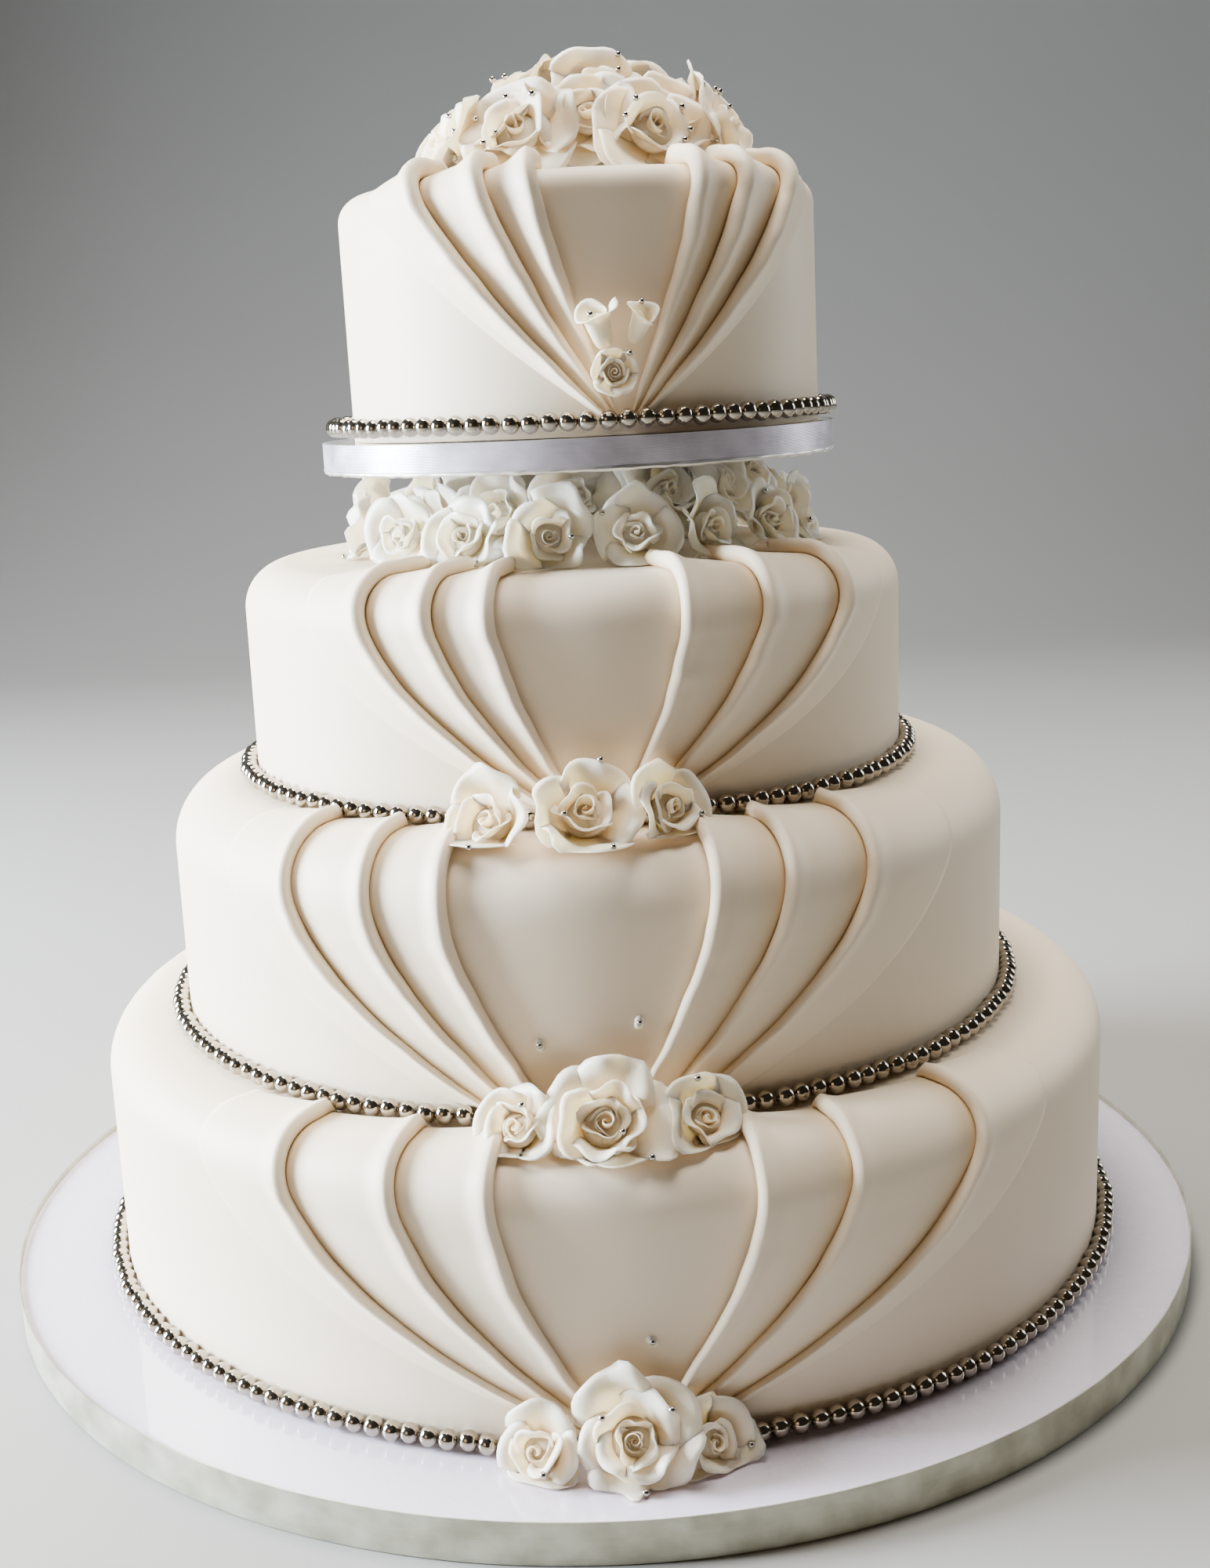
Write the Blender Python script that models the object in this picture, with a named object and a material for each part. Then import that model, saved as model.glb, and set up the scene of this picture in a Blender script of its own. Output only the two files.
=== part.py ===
"""Four-tier wedding cake with pleated drapes, pearl strings and sugar roses.

Three stacked round tiers stand on a ribboned base board.  Four short pillars on
the third tier carry a smaller ribboned board with the fourth tier and its dome
of roses.  Metres, +Z up, the pleated front faces -Y, and the origin is the
middle of the base board's underside.
"""
import math

import bmesh
import bpy
from mathutils import Matrix, Vector

# ---- Driving dimensions -----------------------------------------------------

SEGMENTS = 40              # facets round every turned piece, so that gaps stay even
EDGE_BANDS = 3             # facets across a tier's rounded shoulder
GAP = 0.0003               # clearance between pieces that touch

BOARD_RADIUS = 0.2540      # base board, 20 inches across
BOARD_THICKNESS = 0.0135
RIBBON_HEIGHT = 0.0155     # the base ribbon stands a little proud of its board
RIBBON_THICKNESS = 0.0008

UPPER_BOARD_RADIUS = 0.1052
UPPER_BOARD_THICKNESS = 0.0110   # its ribbon is as high as the board
UPPER_BOARD_X = 0.0020     # it stands slightly to one side
UPPER_BOARD_Z = 0.3350     # underside, at its middle
UPPER_LEAN = math.radians(0.6)

BEAD_RADIUS = 0.0032
BEAD_SIDES = 4

PILLAR_RADIUS = 0.0120
PILLAR_SIDES = 12
PILLAR_CIRCLE = 0.0480     # distance of the pillars from the axis
PILLAR_TURN = math.radians(30)

FOLD_HEIGHT = 0.0055       # crest of a pleat above the tier, at the shoulder
FOLD_FOOT_HEIGHT = 0.0032  # the same where the pleats meet at the foot
FOLD_CREASE = 0.0016       # the sheet where one pleat tucks under the next
FOLD_SEAM = 0.0010         # the feathered outer seam
FOLD_FACE = 0.0015         # from a crease to the steep face, along the tier
FOLD_CREST = 0.0045        # from a crease to the crest
FOLD_FACE_HEIGHT = 0.8     # top of the steep face, as a share of the crest
FOLD_SLOPE_HEIGHT = 0.4    # halfway down to the outer seam, likewise
FOLD_STAND = 0.0018        # allowance for the facets of a drape over its tier
FOLD_TAB = 0.0040          # height of the pressed foot that joins the two wings
FOLD_PLAY = 0.0010         # between the top of the pleats and the pearls above
SIDE_BANDS = 4             # bands of a drape from its foot up to the shoulder

ROSE_OUT = 0.65            # a cluster rose's middle from the tier, in its own radii,
ROSE_CLEAR = 0.0030        # plus this much
ROSE_RISE = 0.55           # its middle above what it stands on, in its own radii
ROSE_TILT = 0.55           # how far up it faces, for each unit outwards

SMALL_ROSE_RADIUS = 0.0110
SMALL_ROSE_ALONG = -0.0042  # along the fourth tier, from the middle of its drape
SMALL_ROSE_HEIGHT = 0.0235
SMALL_ROSE_OUT = 0.0045    # its middle in front of the pleats
SMALL_ROSE_TILT = 0.15
BUD_RADIUS = 0.0075
BUD_ALONG = (-0.0097, 0.0047)
BUD_HEIGHT = 0.0440
BUD_OUT = 0.0035
BUD_SPREAD = 0.35          # each bud turns away from the other, in radians
BUD_TILT = 1.6

ROSE_RING_RADIUS = 0.0870  # circle of roses between the third tier and the board
ROSE_RING_REACH = 0.1030   # how far out their petals may come
ROSE_RING_X = 0.0020
ROSE_RING_DEGREES = (-78, -50, -29, -8, 13, 31, 53, 80, 105, 130, 155, 180, 205, 230, 256)
ROSE_RING_FRONT = 0.0160   # radius of the roses in front, and of those behind
ROSE_RING_REAR = 0.0185
ROSE_RING_RISE = 0.62
ROSE_RING_TILT = 0.35

DOME_HEIGHT = 0.0530
DOME_REACH = 0.0750        # radius of the dome's petals
DOME_X = 0.0052            # the dome sits off the fourth tier's middle
DOME_BACK = 1.5            # its roses reach this far down behind, in half-depths
DOME_NEAR = 2.2            # roses closer than this many radii share a wall

# Layers of the dome: roses, degrees to the first, circle, height, radius and tilt.
DOME_LAYERS = (
    (8, 22, 0.0560, 0.0165, 0.0230, 0.9),
    (4, 10, 0.0260, 0.0335, 0.0210, 1.8),
    (1, 0, 0.0, 0.0430, 0.0175, 9.0),
)


class Tier:
    """One round tier: its size, its place and how its drape falls."""

    def __init__(self, number, radius, height, edge, x, z, turn, foot, left, right):
        self.number = number
        self.radius = radius
        self.height = height
        self.edge = edge             # radius of the rounded shoulder
        self.x = x
        self.z = z                   # base, above the stack's or board's underside
        self.turn = math.radians(turn)
        self.foot = foot             # height at which the pleats would meet
        self.left = left             # pleats at the shoulder, degrees from the middle
        self.right = right
        self.bow = 1.0               # 1 for pleats that bow outwards, 0 for straight
        self.slack = 0.0005          # play between the tier and its pearl string
        self.string_x = 0.0          # the string's middle, from the tier's
        self.drape_end = 0.0         # distance from the axis where the pleats stop
        self.place = Matrix.Translation((x, 0, z))


TIER_1 = Tier(1, 0.2117, 0.1012, 0.018, 0.0035, BOARD_THICKNESS + GAP, 0.5, 0.0,
              (11.5, 21, 33, 46), (12.5, 22, 37, 50))
TIER_2 = Tier(2, 0.1737, 0.0965, 0.025, 0.0, TIER_1.z + TIER_1.height + GAP, -1.0, -0.015,
              (16, 26, 38, 52), (14.5, 24, 36, 54))
TIER_3 = Tier(3, 0.1349, 0.0865, 0.018, -0.003, TIER_2.z + TIER_2.height + GAP, 3.5, -0.004,
              (15, 25, 37, 52), (13, 27, 44, 61))
TIER_4 = Tier(4, 0.0946, 0.0935, 0.010, 0.0055, UPPER_BOARD_THICKNESS + GAP, 8.0, 0.0,
              (17, 29, 46, 66), (18, 31, 47, 66))

for lower, upper in ((TIER_1, TIER_2), (TIER_2, TIER_3)):
    lower.drape_end = (upper.radius + upper.slack + 2 * BEAD_RADIUS + FOLD_PLAY
                       + abs(upper.x - lower.x))
TIER_3.drape_end = 0.1090
TIER_4.drape_end = 0.0780
TIER_4.bow = 0.2
TIER_4.slack = 0.0025
TIER_4.string_x = -0.0017

# The upper board, the fourth tier and all on it lean together.
UPPER_PLACE = (Matrix.Translation((UPPER_BOARD_X, 0, UPPER_BOARD_Z))
               @ Matrix.Rotation(-UPPER_LEAN, 4, "Y"))
TIER_4.place = UPPER_PLACE @ Matrix.Translation((TIER_4.x - UPPER_BOARD_X, 0, TIER_4.z))

TIERS = (TIER_1, TIER_2, TIER_3, TIER_4)

# Each rose of a cluster: along the tier from the middle of the drape, and radius.
CLUSTERS = {
    1: ((-0.0290, 0.0130), (0.0020, 0.0195), (0.0310, 0.0125)),
    2: ((-0.0230, 0.0155), (0.0050, 0.0210), (0.0360, 0.0135)),
    3: ((-0.0375, 0.0155), (-0.0045, 0.0190), (0.0230, 0.0150)),
}
MIDDLE_ROSE = 2            # the other two lean against the pleats below


# ---- Materials --------------------------------------------------------------

def principled(name, colour, roughness, metallic=0.0):
    """A plain finish for one kind of sub-part."""
    material = bpy.data.materials.new(name)
    material.use_nodes = True
    shader = material.node_tree.nodes["Principled BSDF"]
    shader.inputs["Base Color"].default_value = (*colour, 1.0)
    shader.inputs["Roughness"].default_value = roughness
    shader.inputs["Metallic"].default_value = metallic
    return material


for old in list(bpy.data.objects):
    bpy.data.objects.remove(old, do_unlink=True)

FONDANT = principled("fondant", (0.80, 0.70, 0.58), 0.60)
DRAPE = principled("pleated_fondant", (0.82, 0.72, 0.60), 0.60)
PETAL = principled("sugar_petal", (0.86, 0.82, 0.72), 0.55)
SILVER = principled("silver_pearl", (0.70, 0.64, 0.58), 0.18, 1.0)
BOARD = principled("board_foil", (0.80, 0.78, 0.86), 0.20)
SATIN = principled("satin_ribbon", (0.84, 0.83, 0.86), 0.35)
PLASTER = principled("white_pillar", (0.80, 0.78, 0.70), 0.50)


# ---- Shaping helpers --------------------------------------------------------

def finish(name, mesh, material, place=None):
    """Make a mesh an object of the model, smooth except at sharp edges."""
    mesh.materials.append(material)
    mesh.shade_smooth()
    mesh.set_sharp_from_angle(angle=math.radians(40))
    piece = bpy.data.objects.new(name, mesh)
    bpy.context.scene.collection.objects.link(piece)
    if place is not None:
        piece.matrix_world = place
    return piece


def turned(name, outline, material, place, closed=False):
    """Spin an outline of (radius, height) points about Z.

    A closed outline makes a ring; an open one starts and ends on the axis.
    """
    shape = bmesh.new()
    points = [shape.verts.new((radius, 0, z)) for radius, z in outline]
    edges = [shape.edges.new(pair) for pair in zip(points, points[1:])]
    if closed:
        edges.append(shape.edges.new((points[-1], points[0])))
    bmesh.ops.spin(shape, geom=points + edges, cent=(0, 0, 0), axis=(0, 0, 1),
                   angle=math.tau, steps=SEGMENTS, use_merge=True)
    bmesh.ops.remove_doubles(shape, verts=shape.verts, dist=0.00002)
    bmesh.ops.recalc_face_normals(shape, faces=shape.faces)
    mesh = bpy.data.meshes.new(name)
    shape.to_mesh(mesh)
    shape.free()
    return finish(name, mesh, material, place)


def around(angle, radius, z=0.0):
    """The point at an angle from the front (-Y), turning towards +X."""
    return Vector((radius * math.sin(angle), -radius * math.cos(angle), z))


# ---- Tiers, boards, ribbons and pillars -------------------------------------

def make_tier(tier):
    """A covered cake: straight side, rounded shoulder, flat top."""
    outline = [(0, 0), (tier.radius, 0)]
    for band in range(EDGE_BANDS + 1):
        angle = math.pi / 2 * band / EDGE_BANDS
        outline.append((tier.radius - tier.edge * (1 - math.cos(angle)),
                        tier.height - tier.edge * (1 - math.sin(angle))))
    outline.append((0, tier.height))
    turned(f"tier_{tier.number}", outline, FONDANT, tier.place)


def make_board(prefix, radius, thickness, ribbon_height, place):
    """A round cake board with a ribbon round its edge."""
    ribbon_inside = radius - RIBBON_THICKNESS
    board_radius = ribbon_inside - GAP
    turned(f"{prefix}_board",
           [(0, 0), (board_radius, 0), (board_radius, thickness), (0, thickness)],
           BOARD, place)
    turned(f"{prefix}_ribbon",
           [(ribbon_inside, 0), (radius, 0), (radius, ribbon_height),
            (ribbon_inside, ribbon_height)],
           SATIN, place, closed=True)


def bead_ring_middle(tier):
    """Distance of a pearl string's middle from its tier's axis."""
    return tier.radius + tier.slack + BEAD_RADIUS


def make_bead_string(tier):
    """The string of pearls round a tier's foot, as one ring to its outline."""
    middle = bead_ring_middle(tier)
    outline = []
    for side in range(BEAD_SIDES):
        angle = math.tau * side / BEAD_SIDES - math.pi / 2
        outline.append((middle + BEAD_RADIUS * math.cos(angle),
                        BEAD_RADIUS * (1 + math.sin(angle)) + GAP))
    place = tier.place @ Matrix.Translation((tier.string_x, 0, 0))
    turned(f"bead_string_{tier.number}", outline, SILVER, place, closed=True)


def make_pillar(number, angle):
    """A round pillar whose top is cut to the lean of the upper board."""
    foot = around(angle, PILLAR_CIRCLE, TIER_3.z + TIER_3.height + GAP)
    shape = bmesh.new()
    bmesh.ops.create_cone(shape, cap_ends=True, segments=PILLAR_SIDES,
                          radius1=PILLAR_RADIUS, radius2=PILLAR_RADIUS, depth=1.0)
    for vert in shape.verts:
        at_foot = vert.co.z < 0
        vert.co += foot
        across = vert.co.x - UPPER_BOARD_X
        top = UPPER_BOARD_Z + across * math.tan(UPPER_LEAN) - GAP
        vert.co.z = foot.z if at_foot else top
    name = f"pillar_{number}"
    mesh = bpy.data.meshes.new(name)
    shape.to_mesh(mesh)
    shape.free()
    finish(name, mesh, PLASTER)


# ---- Pleated drapes ---------------------------------------------------------

def drape_stations(tier):
    """Stations from the foot up the side, over the shoulder and in along the top.

    Each is (radius, height, normal outwards, normal upwards).  Up the side they
    are closer together where the pleats swing round the tier faster.
    """
    foot = 2 * BEAD_RADIUS + 2 * GAP
    low = pleat_swing(tier, foot + FOLD_TAB)
    high = pleat_swing(tier, tier.height - tier.edge)
    stations = [(tier.radius, foot, 1.0, 0.0)]
    for band in range(SIDE_BANDS):
        swing = low + (high - low) * band / SIDE_BANDS
        share = math.asin(swing) * 2 / math.pi
        height = tier.foot + (tier.height - tier.foot) * share
        stations.append((tier.radius, height, 1.0, 0.0))
    for band in range(EDGE_BANDS + 1):
        angle = math.pi / 2 * band / EDGE_BANDS
        out, up = math.cos(angle), math.sin(angle)
        stations.append((tier.radius - tier.edge * (1 - out),
                         tier.height - tier.edge * (1 - up), out, up))
    stations.append((tier.drape_end, tier.height, 0.0, 1.0))
    return stations


def pleat_swing(tier, height):
    """How far a bowed pleat has swung out at one height, from 0 to 1."""
    return math.sin(math.pi / 2 * (height - tier.foot) / (tier.height - tier.foot))


def fold_angle(tier, degrees, height):
    """Angle from the middle of the drape to a pleat line at one height."""
    straight = (height - tier.foot) / (tier.height - tier.foot)
    share = tier.bow * pleat_swing(tier, height) + (1 - tier.bow) * straight
    return math.radians(degrees) * share


def wing_row(tier, folds, station):
    """Across one wing at one station: (angle, thickness) pairs.

    They run outwards from the crease nearest the middle.  Each pleat is a crease,
    a steep face and a crest, and then falls to the crease of the next.
    """
    radius, height = station[:2]
    crest = FOLD_FOOT_HEIGHT + (FOLD_HEIGHT - FOLD_FOOT_HEIGHT) * height / tier.height
    row = []
    for number, (inner, outer) in enumerate(zip(folds, folds[1:])):
        angle = fold_angle(tier, inner, height)
        width = (fold_angle(tier, outer, height) - angle) * radius
        face = min(FOLD_FACE, 0.2 * width) / radius
        top = min(FOLD_CREST, 0.5 * width) / radius
        row.append((angle, FOLD_CREASE if number else FOLD_SEAM))
        row.append((angle + face, FOLD_FACE_HEIGHT * crest))
        row.append((angle + top, crest))
    seam = fold_angle(tier, folds[-1], height)
    row.append(((row[-1][0] + seam) / 2, FOLD_SLOPE_HEIGHT * crest))
    row.append((seam, FOLD_SEAM))
    return row


def widest_step(rows):
    """The largest angle between neighbouring points of a wing."""
    across = [b[0] - a[0] for row in rows for a, b in zip(row, row[1:])]
    along = [abs(b[0] - a[0]) for low, high in zip(rows, rows[1:])
             for a, b in zip(low, high)]
    return max(across + along)


def make_drape(tier):
    """The pleated drape: two fans of folds that are pressed together at the foot."""
    stations = drape_stations(tier)
    lefts = [wing_row(tier, tier.left, station) for station in stations]
    rights = [wing_row(tier, tier.right, station) for station in stations]
    step = max(widest_step(lefts), widest_step(rights))
    stand = GAP + tier.radius * (1 - math.cos(step / 2))
    shape = bmesh.new()
    front = []
    back = []
    for (radius, height, out, up), left, right in zip(stations, lefts, rights):
        row = [(-angle, thickness) for angle, thickness in reversed(left)] + right
        for layer, share in ((back, 0.0), (front, 1.0)):
            layer.append([
                shape.verts.new(around(tier.turn + angle,
                                       radius + out * (stand + share * thickness),
                                       height + up * (stand + share * thickness)))
                for angle, thickness in row])
    rows = len(stations) - 1
    columns = len(front[0]) - 1
    middle = len(lefts[0]) - 1
    cells = {(row, column) for row in range(rows) for column in range(columns)
             if column != middle or row == 0}
    for row, column in sorted(cells):
        corners = ((row, column), (row, column + 1), (row + 1, column + 1), (row + 1, column))
        shape.faces.new([front[i][j] for i, j in corners])
        shape.faces.new([back[i][j] for i, j in reversed(corners)])
        sides = (((row - 1, column), corners[0], corners[1]),
                 ((row, column + 1), corners[1], corners[2]),
                 ((row + 1, column), corners[2], corners[3]),
                 ((row, column - 1), corners[3], corners[0]))
        for neighbour, (i, j), (k, m) in sides:
            if neighbour not in cells:
                shape.faces.new((front[k][m], front[i][j], back[i][j], back[k][m]))
    bmesh.ops.triangulate(shape, faces=shape.faces, quad_method="SHORT_EDGE")
    bmesh.ops.recalc_face_normals(shape, faces=shape.faces)
    mesh = bpy.data.meshes.new(f"drape_{tier.number}")
    shape.to_mesh(mesh)
    shape.free()
    finish(mesh.name, mesh, DRAPE, tier.place)


# ---- Roses ------------------------------------------------------------------

class Rose:
    """One sugar rose: where it sits, which way it faces and how large it is."""

    def __init__(self, name, centre, facing, radius, petals=4, depth=0.55, back=0.60):
        self.name = name
        self.centre = Vector(centre)
        self.facing = Vector(facing).normalized()
        self.radius = radius
        self.petals = petals
        self.depth = depth           # height of the heart, as a share of the radius
        self.back = back             # reach behind the middle, likewise
        self.walls = []              # planes (normal, offset) that it stays behind


# Rings of a rose from its back to its heart: radius on a petal's tip and between
# two petals, height on each, all as shares of the rose's radius (the heights of
# the back and the heart are scaled by the rose's own), and half-petal turns.
ROSE_RINGS = (
    (0.45, 0.45, -1.00, -1.00, 0),
    (1.00, 0.82, 0.02, -0.06, 0),
    (0.70, 0.66, 0.14, 0.10, 0),
    (0.60, 0.50, 0.80, 0.62, 1),
    (0.34, 0.30, 0.60, 0.55, 1),
)


def keep_apart(first, second):
    """Wall off two roses at the plane that shares the space between them."""
    across = second.centre - first.centre
    normal = across.normalized()
    split = first.centre + across * (first.radius / (first.radius + second.radius))
    first.walls.append((normal, normal.dot(split) - GAP / 2))
    second.walls.append((-normal, -normal.dot(split) - GAP / 2))


def reach_inside(rose, point):
    """Draw a point towards the rose's middle until it is behind every wall."""
    arm = point - rose.centre
    share = 1.0
    for normal, offset in rose.walls:
        along = normal.dot(arm)
        room = offset - normal.dot(rose.centre)
        if along * share > room:
            share = room / along
    return rose.centre + arm * share


def make_rose(rose, place=None):
    """A closed rose: cupped outer petals, a second whorl and a pointed heart."""
    turn = rose.facing.to_track_quat("Z", "Y")
    columns = 2 * rose.petals
    shape = bmesh.new()
    rings = []
    for tip_radius, gap_radius, tip_height, gap_height, shift in ROSE_RINGS:
        ring = []
        for column in range(columns):
            at_tip = (column + shift) % 2 == 0
            radius = (tip_radius if at_tip else gap_radius) * rose.radius
            height = (tip_height if at_tip else gap_height) * rose.radius
            height *= rose.back if height < -0.5 * rose.radius else rose.depth
            angle = math.tau * column / columns
            local = Vector((radius * math.cos(angle), radius * math.sin(angle), height))
            ring.append(shape.verts.new(reach_inside(rose, rose.centre + turn @ local)))
        rings.append(ring)
    heart = Vector((0, 0, rose.radius * rose.depth))
    tip = shape.verts.new(reach_inside(rose, rose.centre + turn @ heart))
    shape.faces.new(rings[0][::-1])
    for lower, upper in zip(rings, rings[1:]):
        for column in range(columns):
            after = (column + 1) % columns
            shape.faces.new((lower[column], lower[after], upper[after], upper[column]))
    for column in range(columns):
        shape.faces.new((rings[-1][column], rings[-1][(column + 1) % columns], tip))
    bmesh.ops.triangulate(shape, faces=shape.faces)
    bmesh.ops.recalc_face_normals(shape, faces=shape.faces)
    mesh = bpy.data.meshes.new(rose.name)
    shape.to_mesh(mesh)
    shape.free()
    finish(rose.name, mesh, PETAL, place)


def clear_of_pleat(rose, tier, below, side):
    """Wall a rose off, at 45 degrees, from the nearest pleat on the shelf below."""
    degrees = below.left[0] if side < 0 else below.right[0]
    angle = below.turn + side * math.radians(degrees)
    offset = Vector((below.x - tier.x, 0, FOLD_HEIGHT + FOLD_STAND - FOLD_FACE))
    crease = around(angle, below.drape_end) + offset
    across = Vector((math.cos(angle), math.sin(angle), 0)) * side
    normal = (across - Vector((0, 0, 1))).normalized()
    rose.walls.append((normal, normal.dot(crease)))


def rest_on_tier(rose, tier, angle, floor):
    """Wall a rose off from a tier's side, its pearl string and what it stands on."""
    out = around(angle, 1.0)
    up = Vector((0, 0, 1))
    slant = (out + up).normalized()
    pearl = around(angle, bead_ring_middle(tier), BEAD_RADIUS + GAP)
    rose.walls.append((-out, -(tier.radius + FOLD_HEIGHT + FOLD_STAND)))
    rose.walls.append((-up, -floor))
    rose.walls.append((-slant, -(slant.dot(pearl) + BEAD_RADIUS + GAP)))


def make_cluster(tier, below=None):
    """Three roses at the foot of a drape, standing on the shelf and leaning back."""
    roses = []
    for number, (along, radius) in enumerate(CLUSTERS[tier.number], start=1):
        angle = tier.turn + along / tier.radius
        centre = around(angle, tier.radius + ROSE_OUT * radius + ROSE_CLEAR,
                        GAP + ROSE_RISE * radius)
        rose = Rose(f"rose_{tier.number}_{number}", centre, around(angle, 1.0, ROSE_TILT),
                    radius)
        rest_on_tier(rose, tier, angle, GAP)
        if below and number != MIDDLE_ROSE:
            clear_of_pleat(rose, tier, below, -1 if number < MIDDLE_ROSE else 1)
        roses.append(rose)
    for first, second in zip(roses, roses[1:]):
        keep_apart(first, second)
    for rose in roses:
        make_rose(rose, tier.place)


def make_spray(tier):
    """The small rose and two buds on the front of the fourth tier."""
    surface = tier.radius + FOLD_HEIGHT + FOLD_STAND
    middle = tier.turn + SMALL_ROSE_ALONG / tier.radius
    out = around(middle, 1.0)
    spray = [Rose("small_rose", around(middle, surface + SMALL_ROSE_OUT, SMALL_ROSE_HEIGHT),
                  around(middle, 1.0, SMALL_ROSE_TILT), SMALL_ROSE_RADIUS)]
    for name, along, side in zip(("bud_left", "bud_right"), BUD_ALONG, (-1, 1)):
        angle = tier.turn + along / tier.radius
        facing = around(angle + side * BUD_SPREAD, 1.0, BUD_TILT)
        spray.append(Rose(name, around(angle, surface + BUD_OUT, BUD_HEIGHT), facing,
                          BUD_RADIUS, depth=0.8, back=1.3))
    for flower in spray:
        flower.walls.append((-out, -surface))
    keep_apart(spray[0], spray[1])
    keep_apart(spray[0], spray[2])
    keep_apart(spray[1], spray[2])
    for flower in spray:
        make_rose(flower, tier.place)


def make_rose_ring():
    """The roses packed round the pillars, between the third tier and the board."""
    floor = TIER_3.z + TIER_3.height + GAP
    roof = UPPER_BOARD_Z - UPPER_BOARD_RADIUS * math.tan(UPPER_LEAN) - 2 * GAP
    up = Vector((0, 0, 1))
    roses = []
    middle = Vector((ROSE_RING_X, 0, 0))
    inside = PILLAR_CIRCLE + PILLAR_RADIUS + 2 * GAP
    for number, degrees in enumerate(ROSE_RING_DEGREES, start=1):
        angle = math.radians(degrees)
        radius = ROSE_RING_FRONT if -90 < degrees < 90 else ROSE_RING_REAR
        out = around(angle, 1.0)
        centre = middle + around(angle, ROSE_RING_RADIUS, floor + ROSE_RING_RISE * radius)
        rose = Rose(f"rose_ring_{number}", centre, around(angle, 1.0, ROSE_RING_TILT), radius)
        rose.walls.append((-up, -floor))
        rose.walls.append((up, roof))
        rose.walls.append((-out, -inside))
        rose.walls.append((out, out.dot(middle) + ROSE_RING_REACH))
        roses.append(rose)
    for first, second in zip(roses, roses[1:] + roses[:1]):
        keep_apart(first, second)
    for rose in roses:
        make_rose(rose)


def make_dome(tier):
    """The dome of roses on top, layer by layer."""
    floor = tier.height + GAP
    up = Vector((0, 0, 1))
    middle = Vector((DOME_X, 0, floor))
    roses = []
    for count, start, circle, height, radius, tilt in DOME_LAYERS:
        for number in range(count):
            angle = math.radians(start) + math.tau * number / count
            centre = middle + around(angle, circle, height)
            rose = Rose(f"rose_dome_{len(roses) + 1}", centre, around(angle, 1.0, tilt),
                        radius, back=DOME_BACK)
            out = around(angle, 1.0)
            rose.walls.append((out, out.dot(middle) + DOME_REACH))
            roses.append(rose)
    for rose in roses:
        rose.walls.append((-up, -floor))
        rose.walls.append((up, floor + DOME_HEIGHT))
    for number, first in enumerate(roses):
        for second in roses[number + 1:]:
            reach = DOME_NEAR * (first.radius + second.radius)
            if (first.centre - second.centre).length < reach:
                keep_apart(first, second)
    for rose in roses:
        make_rose(rose, tier.place)


# ---- The cake ---------------------------------------------------------------

make_board("base", BOARD_RADIUS, BOARD_THICKNESS, RIBBON_HEIGHT, None)
make_board("upper", UPPER_BOARD_RADIUS, UPPER_BOARD_THICKNESS, UPPER_BOARD_THICKNESS,
           UPPER_PLACE)
for cake in TIERS:
    make_tier(cake)
    make_bead_string(cake)
    make_drape(cake)
for quarter in range(4):
    make_pillar(quarter + 1, PILLAR_TURN + math.tau * quarter / 4)
for cake, shelf in ((TIER_1, None), (TIER_2, TIER_1), (TIER_3, TIER_2)):
    make_cluster(cake, shelf)
make_spray(TIER_4)
make_rose_ring()
make_dome(TIER_4)
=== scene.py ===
# %% [markdown]
# # A tiered wedding cake with pleated drapes, pearl strings and sugar roses
# The model of the construction is loaded first, as a fixed frame.  It says where each
# tier, board, rose and pearl string is.  Every cell below makes one kind of piece at its
# real size in that frame and lets it stand for the plain solids of the construction.

# %% Load the frame
import math
import random

import bmesh
import bpy
import numpy as np
from mathutils import Matrix, Vector


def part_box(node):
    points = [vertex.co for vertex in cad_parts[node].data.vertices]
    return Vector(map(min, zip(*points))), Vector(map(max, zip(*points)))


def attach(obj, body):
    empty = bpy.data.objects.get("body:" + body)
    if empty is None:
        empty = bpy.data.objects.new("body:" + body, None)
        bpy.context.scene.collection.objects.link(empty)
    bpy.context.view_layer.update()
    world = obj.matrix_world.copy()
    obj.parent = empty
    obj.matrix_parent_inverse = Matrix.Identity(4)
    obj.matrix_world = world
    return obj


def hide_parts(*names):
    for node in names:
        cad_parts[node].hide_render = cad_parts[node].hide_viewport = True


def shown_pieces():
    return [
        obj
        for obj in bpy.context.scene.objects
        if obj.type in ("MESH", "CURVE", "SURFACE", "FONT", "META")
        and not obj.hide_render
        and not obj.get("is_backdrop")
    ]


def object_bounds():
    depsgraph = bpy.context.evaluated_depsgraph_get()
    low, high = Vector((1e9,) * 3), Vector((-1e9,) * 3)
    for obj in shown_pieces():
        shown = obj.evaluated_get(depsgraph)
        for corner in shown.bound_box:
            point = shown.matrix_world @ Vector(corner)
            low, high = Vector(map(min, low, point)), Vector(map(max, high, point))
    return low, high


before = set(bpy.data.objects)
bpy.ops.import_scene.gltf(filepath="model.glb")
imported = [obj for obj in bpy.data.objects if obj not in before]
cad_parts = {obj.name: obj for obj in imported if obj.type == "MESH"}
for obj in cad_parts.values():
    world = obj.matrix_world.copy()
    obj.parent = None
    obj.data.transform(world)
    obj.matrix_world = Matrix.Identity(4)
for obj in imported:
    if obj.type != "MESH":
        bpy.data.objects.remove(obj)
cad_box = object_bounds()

# %% [markdown]
# ## What is measured on the frame
# A round piece is as wide as its node is deep.  The upper board, the fourth tier and the
# roses on it lean together by a small angle, so their heights are worked out with it.
# Each tier gets its own frame, with z = 0 at its foot, and what it carries is made in it.

# %% Measure the round pieces
UPPER_LEAN = math.radians(0.6)      # the left side is the lower one


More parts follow.
